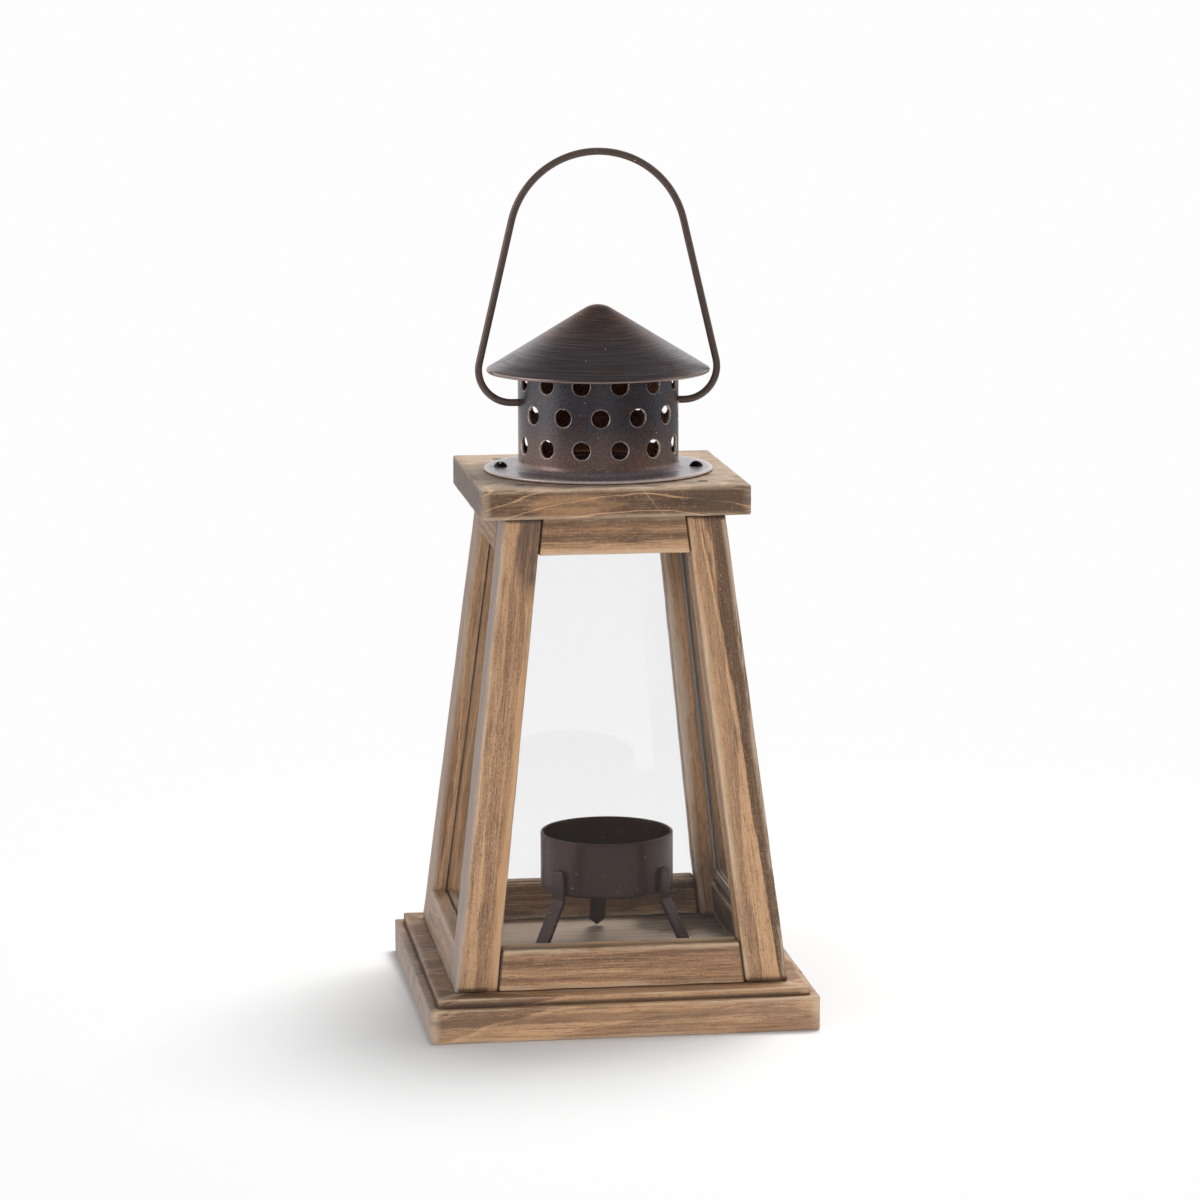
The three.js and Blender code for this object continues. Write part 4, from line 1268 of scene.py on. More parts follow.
        def face(edge: Array) -> Array:
            """Carries the board's edge in to the vent.

            Args:
                edge: The ring at the edge, points x 3.

            Returns:
                The rings, rows x points x 3.
            """
            angle, vent = np.arctan2(edge[:, 1], edge[:, 0]), self.vent_radius
            circle = np.stack([vent * np.cos(angle), vent * np.sin(angle), edge[:, 2]], axis=-1)
            return circle + (edge - circle) * flat[:, None, None]

        upper, lower = face(sides[-1]), face(sides[0])[::-1]
        wall_levels = np.linspace(high, low, 8)[1:-1]
        wall = np.repeat(upper[-1][None], len(wall_levels), axis=0)
        wall[..., 2] = wall_levels[:, None]
        points = np.concatenate([sides, upper, wall, lower])
        top_face_wear_and_light = np.zeros((len(points) - len(sides), points.shape[1]))
        # The top face is lightened through its wear: weathering, and painted light from above.
        top_face_wear_and_light[: len(upper)] = self.top_wear
        bumps = ripple(points, 7, 14 * MM, 0.1 * MM) + ripple(points, 8, 3 * MM, 0.04 * MM)
        bumps[len(sides) :] = np.minimum(bumps[len(sides) :], 0) * 0.5
        facing = normals(points, wrap_rows=True)
        sign = np.sign(np.sum(facing[len(soft) // 2, :, :2] * points[len(soft) // 2, :, :2]))
        points = points + sign * facing * np.minimum(bumps - 0.07 * MM, 0)[..., None]
        skin = Skin(points, np.concatenate([wear, top_face_wear_and_light]))
        piece = from_grid("top_board_wood", skin, wrap_rows=True)
        hole, deep = self.nail_hole
        holes = [plan_middle(f"top_nail_{corner}") for corner in CORNERS]
        cut(piece, [rod(hole, high - deep, high + MM, at) for at in holes])
        self.board("top_board", "top_wood", piece, finish, (low + high) / 2)

    def board(
        self, name: str, slot: str, piece: Object, finish: PineFinish, height: float
    ) -> None:
        """Gives a level board its wood, with the grain along X.

        Args:
            name: The board's node.
            slot: The record's material slot.
            piece: The finished board.
            finish: Its wood.
            height: The height of its middle.
        """
        centre, along, across = Vector((0, 0, height)), Vector((1, 0, 0)), Vector((0, 1, 0))
        material = finish.material(f"{name} pine", centre, along, across)
        place(piece, Body.HOUSING, slot, material, name)

    def build(self, finishes: dict[str, PineFinish]) -> None:
        """Builds every wooden piece.

        Args:
            finishes: The pieces' woods by node.
        """
        self.base(finishes["base_board"])
        for name, corner in CORNERS.items():
            self.leg(f"leg_{name}", corner, finishes[f"leg_{name}"], name == "front_right")
        bottom = (self.levels["base"] + self.joint_gap, self.levels["sill"])
        top = (self.levels["lintel"], self.levels["head"] - self.joint_gap)
        for name, side in self.sides.items():
            for kind, ends, edge in (("bottom", bottom, 1), ("top", top, -1)):
                node = f"{kind}_rail_{name}"
                self.rail(node, side, finishes[node], ends, 0 if name == "right" else edge)
        self.top(finishes["top_board"])


# Metal


DUST = colour(205, 200, 195)


def patina_group() -> None:
    """Builds the shared group for aged metal: cloudy patches, fine grit, dust and scratches.

    The vector is in millimetres. Patches are broad noise through a threshold, grit is fine noise,
    dust is sparse bright specks, and scratches are noise drawn out along the vector's X.
    """
    takes = {"Vector": None, "Seed": 0.0, "Patch size": 9.0, "Patches": 0.5, "Dust": 0.3}
    t, put = group("Patina", takes, dict.fromkeys(("Patch", "Grit", "Dust", "Scratch"), "Float"))
    here = t.vector("ADD", put["Vector"], t.vector("SCALE", (11.3, 5.7, 17.9), put["Seed"]))
    size = put["Patch size"]
    cloud = t.noise(t.vector("DIVIDE", here, t.join(size, size, size)), 1.0, 5.0, 0.62, 0.4)
    grit = t.noise(here, 2.6, 3.0, 0.7)
    level = 1.0 - put["Patches"]
    speck = t.node("TexVoronoi", {"Vector": here, "Scale": 0.75}, feature="F1")
    close = t.ramp(speck.outputs["Distance"], 0.16, 0.08)
    picked = t.ramp(t.split(speck.outputs["Color"])[0], 1.0 - put["Dust"], 1.0)
    t.give({
        "Patch": t.ramp(cloud + (grit - 0.5) * 0.25, level, level + 0.24),
        "Grit": grit,
        "Dust": close * picked * t.ramp(t.noise(here, 0.23, 1.0), 0.4, 0.6),
        "Scratch": t.grain(here, (0.06, 2.4, 2.4), 3.0, 0.65),
    })


class Flow(Enum):
    """Which way a metal's brush marks run."""

    ROUND_THE_AXIS = "round"
    UPRIGHT = "upright"
    ALL_WAYS = "all"


@dataclass(frozen=True)
class Tint:
    """A tint on a metal that starts at one height or distance in metres and is full at another."""

    start: float
    full: float
    tint: Colour
    share: float = 1.0

    def mask(self, t: Tree, at: Signal) -> Signal:
        """Returns the tint's share at a height or distance in millimetres."""
        return t.ramp(at, self.start / MM, self.full / MM, (0.0, self.share))


@dataclass(frozen=True)
class MetalFinish:
    """How a patinated metal looks; the patches' size is in millimetres."""

    base: Colour
    patch: Colour
    worn: Colour
    metallic: float = 1.0
    roughness: float = 0.4
    patch_roughness: float = 0.55
    seed: float = 0.0
    patch_size: float = 9.0
    patches: float = 0.45
    dust: float = 0.1
    scratches: float = 0.15
    grit: float = 0.3
    bump: float = 0.2
    flow: Flow = Flow.ALL_WAYS
    crown: Optional[Tint] = None
    bands: tuple[Tint, ...] = ()
    lining: Optional[Tint] = None

    def marks(self, t: Tree, here: Signal) -> Signal:
        """Works out a vector whose X runs along the brush marks.

        Args:
            t: The material's tree.
            here: The place in millimetres.

        Returns:
            The vector; round the axis its X is the angle times a radius of 24 mm.
        """
        if self.flow is Flow.ALL_WAYS:
            return here
        x, y, z = t.split(here)
        if self.flow is Flow.UPRIGHT:
            return t.join(z, x, y)
        return t.join(t.math("ARCTAN2", y, x) * 24.0, t.math("SQRT", x * x + y * y), z)

    def material(self, name: str) -> Material:
        """Makes the metal: patches over the base colour, then tints, grit, wear and dust.

        Args:
            name: The material's name.

        Returns:
            The material.
        """
        made, t = new_material(name)
        here = t.vector("MULTIPLY", t.place(), (1 / MM,) * 3)
        patina = {
            "Seed": self.seed, "Patch size": self.patch_size, "Patches": self.patches,
            "Dust": self.dust,
        }
        aged = t.use("Patina", {**patina, "Vector": here})
        scratch = t.use("Patina", {**patina, "Vector": self.marks(t, here)})["Scratch"]
        grit, dust, share = aged["Grit"], aged["Dust"], aged["Patch"]
        if self.crown:
            rise = self.crown.mask(t, t.split(here)[2])
            share = share.over(rise * t.ramp(scratch, 0.3, 0.62))
        body = t.mix(share, self.base, self.patch)
        if self.crown:
            body = t.mix(rise * t.ramp(scratch, 0.5, 0.7), body, self.crown.tint)
        bare = 1.0 - dust
        for band in self.bands:
            dull = band.mask(t, t.split(here)[2])
            body = t.mix(dull, body, band.tint)
            bare = t.math("MINIMUM", bare, 1.0 - dull * 0.45)
        if self.lining:
            away = t.vector("LENGTH", t.vector("MULTIPLY", here, (1.0, 1.0, 0.0)))
            body = t.mix(self.lining.mask(t, away), body, self.lining.tint)
        tone = 1.0 + (grit - 0.5) * (self.grit * 2) + (scratch - 0.5) * (self.scratches * 4)
        body = t.mix(1.0, body, t.join(tone, tone, tone), "MULTIPLY")
        body = t.mix(t.attribute("wear"), body, self.worn)
        rougher = self.patch_roughness - self.roughness
        rough = self.roughness + share * rougher + (grit - 0.5) * 0.25
        height = grit * self.grit + scratch * self.scratches + dust * 0.5
        t.surface(t.node("BsdfPrincipled", {
            "Base Color": t.mix(dust, body, DUST),
            "Roughness": t.math("ADD", rough, dust * 0.4, clamp=True),
            "Metallic": bare * self.metallic,
            "Normal": t.bump(height, self.bump, 0.08 * MM),
        }))
        return made


@dataclass
class Chimney:
    """The spun collar with its rows of holes, the cone cap and the flange's screws.

    The holes stand in two arcs, front and back. Each hole is the middle of a cell, and plain lands
    fill each row between its arcs. All of them share one lattice of steps round the axis.
    """

    radius: float = 25.0 * MM
    wall: float = 1.0 * MM
    flange_radius: float = 35.7 * MM
    flange_rim: float = 0.45 * MM
    rim_wear: float = 0.5
    root: float = 2.4 * MM
    seat: float = 0.1 * MM
    hole_radius: float = 2.8 * MM
    lip: float = 0.3 * MM
    inner_lip: float = 0.1 * MM
    cells: int = 13
    front_cells: tuple[int, int, int] = (6, 6, 6)
    front_starts: tuple[int, int, int] = (-36, -30, -36)
    back_cells: tuple[int, int, int] = (6, 5, 6)
    back_starts: tuple[int, int, int] = (40, 46, 40)
    first_row: float = 8.9 * MM
    row_pitch: float = 9.9 * MM
    turn: float = -96.0
    cell_steps: int = 12
    cell_rise: int = 10
    cell_shares: tuple[float, ...] = (0.0, 0.3, 0.58, 0.8, 0.94)
    wire_hole: float = 1.35 * MM
    pivot: float = 21.5 * MM
    cap_radius: float = 34.7 * MM
    cap_rim: float = 31.4 * MM
    cap_slope: float = 31.5
    cap_tip: float = 8.0 * MM
    cap_sheet: float = 0.8 * MM
    cap_step: float = 1.2 * MM
    hem: float = 0.7 * MM
    hem_wear: float = 0.55
    screw_hole: float = 1.4 * MM
    screw_head: float = 2.2 * MM
    screw_shank: float = 1.2 * MM
    screw_seat: float = 1.12 * MM
    slot: Triple = (3.0 * MM, 0.35 * MM, 0.6 * MM)
    slot_angles: Pair = (20.0, 75.0)
    level: float = field(init=False)
    top: float = field(init=False)
    around: int = field(init=False)

    def __post_init__(self) -> None:
        """Takes the levels from the frame and counts the lattice's steps."""
        self.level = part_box("top_board")[1].z
        self.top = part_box("chimney_collar")[1].z - self.level
        self.around = self.cells * self.cell_steps

    def angle(self, steps: Array) -> Array:
        """Returns the angle at a number of lattice steps from the front arc's middle."""
        return math.radians(self.turn) + 2 * math.pi * np.asarray(steps) / self.around

    def wrap(self, angle: Array, z: Array, radius: Array) -> Array:
        """Returns points round the collar's axis from angles, heights and radii."""
        x, y = radius * np.cos(angle), radius * np.sin(angle)
        return np.stack(np.broadcast_arrays(x, y, z + self.level), axis=-1)

    def cell(self, start: int, height: float) -> tuple[Array, Array]:
        """Builds one cell of the perforated wall: a rectangle of sheet with a hole in it.

        Points run from the cell's outer border to the hole, over the hole's rounded lip, and back
        to the inner border. At a share s from the border the outline is
        border + (hole - border) * s in angle and height.

        Args:
            start: The lattice step that the cell begins at.
            height: The height of the hole's middle.

        Returns:
            The cell's points, rings x points round x 3, and how worn each is.
        """
        n, m = self.cell_steps, self.cell_rise
        half = np.array([math.pi / self.cells * self.radius, self.row_pitch / 2])
        border = walked(np.array([[-1, -1], [1, -1], [1, 1], [-1, 1]]) * half, (n, m, n, m))
        angle = np.arctan2(border[:, 1], border[:, 0])
        circle = np.stack([np.cos(angle), np.sin(angle)], axis=-1)
        turn = np.radians(np.linspace(0, 90, 5))
        hole, lip, outer, inner = self.hole_radius, self.lip, self.radius, self.radius - self.wall
        shares = np.array(self.cell_shares)
        flat = np.ones(len(shares))
        share = np.concatenate([shares, np.ones(len(turn) + 2), shares[::-1]])
        size = np.concatenate([
            flat * (hole + lip), hole + lip * (1 - np.sin(turn)), [hole, hole + self.inner_lip],
            flat * (hole + lip),
        ])
        radius = np.concatenate([
            flat * outer, outer - lip * (1 - np.cos(turn)), [inner + self.inner_lip, inner],
            flat * inner,
        ])
        plan = border + (circle * size[:, None, None] - border) * share[:, None, None]
        angles = float(self.angle(start + n / 2)) + plan[..., 0] / outer
        points = self.wrap(angles, height + plan[..., 1], radius[:, None])
        near_face = radius > inner + 2 * self.inner_lip
        worn = np.clip((outer - radius) / (0.25 * lip), 0, 1) * near_face
        return points, np.repeat(worn[:, None], len(border), axis=1)

    def land(self, start: int, end: int, low: float, radius: float) -> Array:
        """Returns a plain stretch of the wall between two arcs of holes, rows x columns x 3."""
        z = low + self.row_pitch * np.linspace(0, 1, self.cell_rise + 1)
        return self.wrap(self.angle(np.arange(start, end + 1)), z[:, None], radius)

    def profiles(self) -> tuple[Array, Array]:
        """Works out the outlines of the flange and of the plain band over the holes.

        Returns:
            Both as points of [radius, height over the top board].
        """
        low = self.first_row - self.row_pitch / 2
        high = low + len(self.front_cells) * self.row_pitch
        inner = self.radius - self.wall
        face, root = self.seat + self.wall, self.root
        foot = root + self.wall
        rim = self.flange_radius - self.flange_rim
        upper_rise = arc((self.radius + root, face + root), root, 180, 270, 10)
        under_rise = arc((inner + foot, self.seat + foot), foot, 270, 180, 10)
        flange = np.concatenate([
            [[self.radius, low]],
            upper_rise,
            stretch([upper_rise[-1], [rim, face]], 1.5 * MM)[1:],
            arc((rim, face - self.flange_rim), self.flange_rim, 90, -90, 6)[1:],
            stretch([[rim, self.seat], [inner + foot, self.seat]], 1.5 * MM)[1:],
            under_rise[1:],
            [[inner, low]],
        ])
        outer = self.radius
        band = np.array([[inner, high], [inner, self.top], [outer, self.top], [outer, high]])
        return flange, band

    def collar(self, material: Material) -> None:
        """Builds the collar as one sheet: the flange, the cells and lands, and the band over them.

        They share their points round the axis, so merging the doubles closes the sheet.

        Args:
            material: The collar's metal.
        """
        flange, band = self.profiles()
        near_rim = np.abs(flange[:, 0] - self.flange_radius) < self.flange_rim
        ring = self.angle(np.arange(self.around))
        sheets, lands, cells = [], [], []
        for profile, wear in ((flange, near_rim * self.rim_wear), (band, np.zeros(len(band)))):
            points = self.wrap(ring, profile[:, 1, None], profile[:, 0, None])
            sheets.append((points, np.repeat(wear, self.around), quads(*points.shape[:2])))
        for row in range(len(self.front_cells)):
            low = self.first_row + (row - 0.5) * self.row_pitch
            front, back = self.front_starts[row], self.back_starts[row]
            front_end = front + self.front_cells[row] * self.cell_steps
            back_end = back + self.back_cells[row] * self.cell_steps
            for start, end in ((front, front_end), (back, back_end)):
                for step in range(start, end, self.cell_steps):
                    points, wear = self.cell(step, low + self.row_pitch / 2)
                    cells.append((points, wear.ravel(), quads(*points.shape[:2])[:, ::-1]))
            for start, end in ((front_end, back), (back_end, front + self.around)):
                for radius, way in ((self.radius, 1), (self.radius - self.wall, -1)):
                    points = self.land(start, end, low, radius)[::way]
                    rows, columns = points.shape[:2]
                    faces = quads(rows, columns).reshape(rows - 1, columns, 4)[:, :-1]
                    lands.append((points, np.zeros(rows * columns), faces.reshape(-1, 4)[:, ::-1]))
        sheets += lands + cells
        counts = np.cumsum([0, *(len(wear) for _, wear, _ in sheets)])
        piece = make_mesh(
            "chimney_collar_metal",
            np.concatenate([points.reshape(-1, 3) for points, _, _ in sheets]),
            np.concatenate([faces + n for (_, _, faces), n in zip(sheets, counts)]).tolist(),
            np.concatenate([wear for _, wear, _ in sheets]),
        )
        tidy(piece, 20 * WELD, 40.0)
        cut(piece, [self.wire_cutter(), *self.screw_cutters()])
        place(piece, Body.HOUSING, "chimney_metal", material, "chimney_collar")

    def wire_cutter(self) -> Object:
        """Makes the round cutter for the bail's two holes.

        Returns:
            The cutter, which runs right across the collar.
        """
        ends = np.array([[self.wire_hole, -30 * MM], [self.wire_hole, 30 * MM]])
        wire = turned(ends, 32)
        points = wire.points[..., [2, 1, 0]] + [0, 0, self.level + self.pivot]
        return from_grid("wire cutter", Skin(points, wire.wear))

    def screw_cutters(self) -> list[Object]:
        """Makes the cutters for the flange's screw holes."""
        low, high = self.level - MM, self.level + 3 * MM
        return [rod(self.screw_hole, low, high, plan_middle(f"flange_screw_{i}")) for i in (1, 2)]

    def cap(self, material: Material) -> None:
        """Builds the cap: a cone with a rounded tip and a rolled hem, turned round the axis.

        The sheet is given a very slight unevenness, as spinning leaves.

        Args:
            material: The cap's metal.
        """
        tilt = 90 - self.cap_slope
        lean = math.radians(self.cap_slope)
        hem = (self.cap_radius - self.hem, self.cap_rim)
        rise = self.cap_rim + hem[0] * math.tan(lean) + self.hem / math.cos(lean)
        tip = (0.0, rise - self.cap_tip / math.cos(lean))
        meet = math.degrees(math.acos(1 - self.cap_sheet / self.hem))
        under = arc(tip, self.cap_tip - self.cap_sheet, 89.0, tilt, 10)
        rolled = arc(hem, self.hem, tilt + meet, tilt + 360, 20)
        over = arc(tip, self.cap_tip, tilt, 89.0, 14)
        inside = stretch([under[-1], rolled[0]], self.cap_step)[:-1]
        slope = stretch([rolled[-1], over[0]], self.cap_step)[:-1]
        profile = np.concatenate([under[:-1], inside, rolled[:-1], slope, over])
        worn = np.zeros(len(profile))
        first = len(under) - 1 + len(inside)
        turn = np.linspace(tilt + meet, tilt + 360, 21)[:-1]
        worn[first : first + 20] = np.where(turn > 260, self.hem_wear, 0.0)
        skin = turned(profile, 240, worn)
        skin.points[..., 2] += self.level
        dents = ripple(skin.points, 21, 18 * MM, 0.05 * MM)[..., None]
        skin = skin.plus(normals(skin.points) * dents)
        piece = from_grid("cone_cap_metal", skin, Cap.POLE)
        place(piece, Body.HOUSING, "cap_metal", material, "cone_cap")

    def screws(self, material: Material) -> None:
        """Builds the flange's two domed screws, each with a slot cut in its head.

        With h the dome's rise and r the head's radius, the ball's radius is (r^2 + h^2) / 2h.

        Args:
            material: The screws' metal.
        """
        long, half, deep = self.slot
        shank, seat = self.screw_shank, self.level + self.screw_seat
        for i, angle in enumerate(self.slot_angles, 1):
            node = f"flange_screw_{i}"
            low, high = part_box(node)
            at = np.array([*plan_middle(node), 0.0])
            rise = high.z - seat
            ball = (self.screw_head**2 + rise**2) / (2 * rise)
            start = math.degrees(math.asin((ball - rise) / ball))
            dome = arc((0.0, high.z - ball), ball, start, 89.0, 14)
            stem = [[shank * 0.3, low.z], [shank, low.z + 2 * MM], [shank, seat]]
            skin = turned(np.concatenate([stem, dome]), 48)
            piece = from_grid(f"{node}_head", skin.plus(at), Cap.POLE)
            along = np.array([math.cos(math.radians(angle)), math.sin(math.radians(angle))])
            aside = np.array([-along[1], along[0]])
            plan = np.array([
                along * a * long + aside * b * half for a, b in ((-1, -1), (1, -1), (1, 1), (-1, 1))
            ])
            rings = lifted(np.stack([plan, plan]), np.array([high.z - deep, high.z + MM])) + at
            cut(piece, [from_grid("slot", unworn(rings))])
            place(piece, Body.HOUSING, "fastener_steel", material, node)

    def build(self, collar: MetalFinish, cap: MetalFinish, screw: MetalFinish) -> None:
        """Builds the chimney.

        Args:
            collar: The collar's metal.
            cap: The cap's.
            screw: The screws'.
        """
        self.collar(collar.material("gunmetal collar"))
        self.cap(cap.material("gunmetal cap"))
        self.screws(screw.material("black screw"))


@dataclass
class Bail:
    """The wire bail: a hook through each side of the collar, two leaning arms and a round arch."""

    wire: float = 1.15 * MM
    arch: float = 27.6 * MM
    hook: float = 10.3 * MM
    lean: float = 13.2
    inside: float = 21.0 * MM
    rise: float = 77.4 * MM
    step: float = 0.9 * MM
    end_shares: Pair = (0.8, 0.95)

    def path(self) -> Array:
        """Works out the wire's middle line from its arcs and the straight arms between them.

        Returns:
            Points x 3, from one end of the wire to the other.
        """
        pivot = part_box("bail")[0].z + self.wire
        lean = math.radians(self.lean)
        centre = self.rise - self.arch
        top = (self.arch * math.cos(lean), centre + self.arch * math.sin(lean))
        foot_z = self.hook * (1 + math.sin(lean))
        foot_x = top[0] + (top[1] - foot_z) * math.tan(lean)
        hook_x = foot_x - self.hook * math.cos(lean)
        half = np.concatenate([
            [[self.inside, 0.0]],
            arc((hook_x, self.hook), self.hook, -90, self.lean, 24),
            arc((0.0, centre), self.arch, self.lean, 90, 30),
        ])
        flat = stretch(np.concatenate([half, half[::-1][1:] * [-1, 1]]), self.step)
        return np.stack([flat[:, 0], np.zeros(len(flat)), flat[:, 1] + pivot], axis=-1)

    def build(self, finish: MetalFinish) -> None:
        """Builds the wire, whose thickness varies a little, with rounded ends.

        Args:
            finish: Its metal.
        """
        path = self.path()
        along = unit(np.gradient(path, axis=0))
        ends = np.array([0.0, 0.05, 0.2]) * self.wire
        start = path[0] + along[0] * ends[:, None]
        end = path[-1] - along[-1] * ends[::-1, None]
        path = np.concatenate([start, path[1:-1], end])
        radius = self.wire * (0.985 + ripple(path, 31, 9 * MM, 0.015))
        radius[:2] *= self.end_shares
        radius[-2:] *= self.end_shares[::-1]
        piece = from_grid("bail_wire", tube(path, radius, 20))
        place(piece, Body.BAIL, "bail_wire", finish.material("bail bronze"), "bail")


@dataclass
class TealightHolder:
    """The tealight's cup on its three bent straps."""

    wall: float = 0.8 * MM
    foot: float = 1.0 * MM
    heel: float = 0.5 * MM
    rim_wear: float = 0.25
    strap: Pair = (5.2 * MM, 1.2 * MM)
    strap_corner: float = 0.3 * MM
    gap: float = 0.2 * MM
    tab: float = 8.0 * MM
    drop: float = 1.7 * MM
    bend: float = 2.2 * MM
    splay: float = 30.0
    point: float = 2.6 * MM
    angles: Triple = (-142.0, -41.0, 88.0)
    centre: Array = field(init=False)
    radius: float = field(init=False)
    height: float = field(init=False)
    floor: float = field(init=False)

    def __post_init__(self) -> None:
        """Takes the cup's place and size from the frame."""
        low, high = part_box("tealight_cup")
        self.centre = np.array([*plan_middle("tealight_cup"), low.z])
        self.radius = (high.x - low.x) / 2
        self.height = high.z - low.z
        self.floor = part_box("base_board")[1].z

    def cup(self, material: Material) -> None:
        """Builds the cup: a drawn wall with a rounded foot and a rounded rim.

        Args:
            material: Its metal.
        """
        outer, inner, foot, heel = self.radius, self.radius - self.wall, self.foot, self.heel
        rim = self.wall / 2
        profile = np.concatenate([
            [[0.5 * MM, 0.0]],
            stretch([[2 * MM, 0.0], [outer - foot, 0.0]], 2 * MM)[:-1],
            arc((outer - foot, foot), foot, -90, 0, 6),
            stretch([[outer, foot + MM], [outer, self.height - rim - MM]], 1.6 * MM),
            arc((outer - rim, self.height - rim), rim, 0, 180, 8),
            stretch([[inner, self.height - 2 * MM], [inner, self.wall + MM]], 1.6 * MM),
            arc((inner - heel, self.wall + heel), heel, 0, -90, 4),
            [[inner - 3 * MM, self.wall], [10 * MM, self.wall], [0.5 * MM, self.wall]],
        ])
        worn = np.where(profile[:, 1] > self.height - 0.5 * rim, self.rim_wear, 0.0)
        skin = turned(profile, 180, worn)
        dents = ripple(skin.points, 41, 16 * MM, 0.06 * MM)
        skin = skin.plus(self.centre - normals(skin.points) * np.abs(dents)[..., None])
        piece = from_grid("tealight_cup_metal", skin, Cap.POLE)
        place(piece, Body.HOUSING, "cup_metal", material, "tealight_cup")

    def line(self) -> Array:
        """Works out a strap's middle line: a tab up the wall, a bend and a straight leg.

        Returns:
            Points of [distance from the cup's axis, height over the cup's foot].
        """
        face = self.radius + self.gap + self.strap[1] / 2
        splay, bend = math.radians(self.splay), self.bend
        start = (face + bend, -self.drop + bend * math.tan(splay / 2))
        turn = arc(start, bend, 180, 180 + self.splay, 6)
        foot_z = -(self.centre[2] - self.floor - self.gap) + 0.6 * MM
        last = turn[-1]
        foot = [last[0] + (last[1] - foot_z) * math.tan(splay), foot_z]
        return stretch(np.concatenate([[[face, self.tab]], turn, [foot]]), 0.7 * MM)

    def leg(self, number: int, angle: float, material: Material) -> None:
        """Builds one strap: a tab up the cup's wall, a bend, and a splayed leg with a point.

        The strap's middle line lies in an upright plane through the cup's axis. At each point of
        it the section is a rounded bar: half the width to each side, half the thickness each way.

        Args:
            number: The strap's number.
            angle: Its direction from the cup's axis, in degrees.
            material: Its metal.
        """
        width, thick = self.strap
        line = self.line()
        along = unit(np.gradient(line, axis=0))
        length = np.concatenate([[0], np.cumsum(np.linalg.norm(np.diff(line, axis=0), axis=-1))])
        left = length[-1] - length
        half = np.minimum(width / 2, 0.25 * MM + left * (width / 2) / self.point)
        half = half * np.minimum(1, 0.82 + length / (1.5 * MM) * 0.18)
        deep = thick / 2 * np.minimum(1, 0.5 + length / (0.6 * MM) * 0.5)
        corner = self.strap_corner
        box = np.array([[1, 1], [-1, 1], [-1, -1], [1, -1]], dtype=float)
        corners = box * np.stack([half, deep], axis=-1)[:, None]
        radii = np.full((len(line), 4), corner) * np.minimum(1, half / (2 * corner))[:, None] * 0.8
        section, _ = outline(corners, radii, np.zeros((len(line), 4)), [6, 2, 6, 2])
        side, through = section[..., 0], section[..., 1:]
        middle = line[:, None] + through * turn_left(along)[:, None]
        way = math.radians(angle)
        x = middle[..., 0] * math.cos(way) - side * math.sin(way)
        y = middle[..., 0] * math.sin(way) + side * math.cos(way)
        points = np.stack([x, y, middle[..., 1]], axis=-1) + self.centre
        points[..., 2] = np.maximum(points[..., 2], self.floor + 0.1 * MM)
        dents = ripple(points, 50 + number, 3 * MM, 0.05 * MM)[..., None]
        points = points + normals(points) * dents
        piece = from_grid(f"cup_leg_{number}_strap", unworn(points))
        place(piece, Body.HOUSING, "cup_metal", material, f"cup_leg_{number}")

    def build(self, finish: MetalFinish) -> None:
        """Builds the cup and its straps.

        Args:
            finish: Their metal.
        """
        material = finish.material("cup bronze")
        self.cup(material)
        for number, angle in enumerate(self.angles, 1):
            self.leg(number, angle, material)


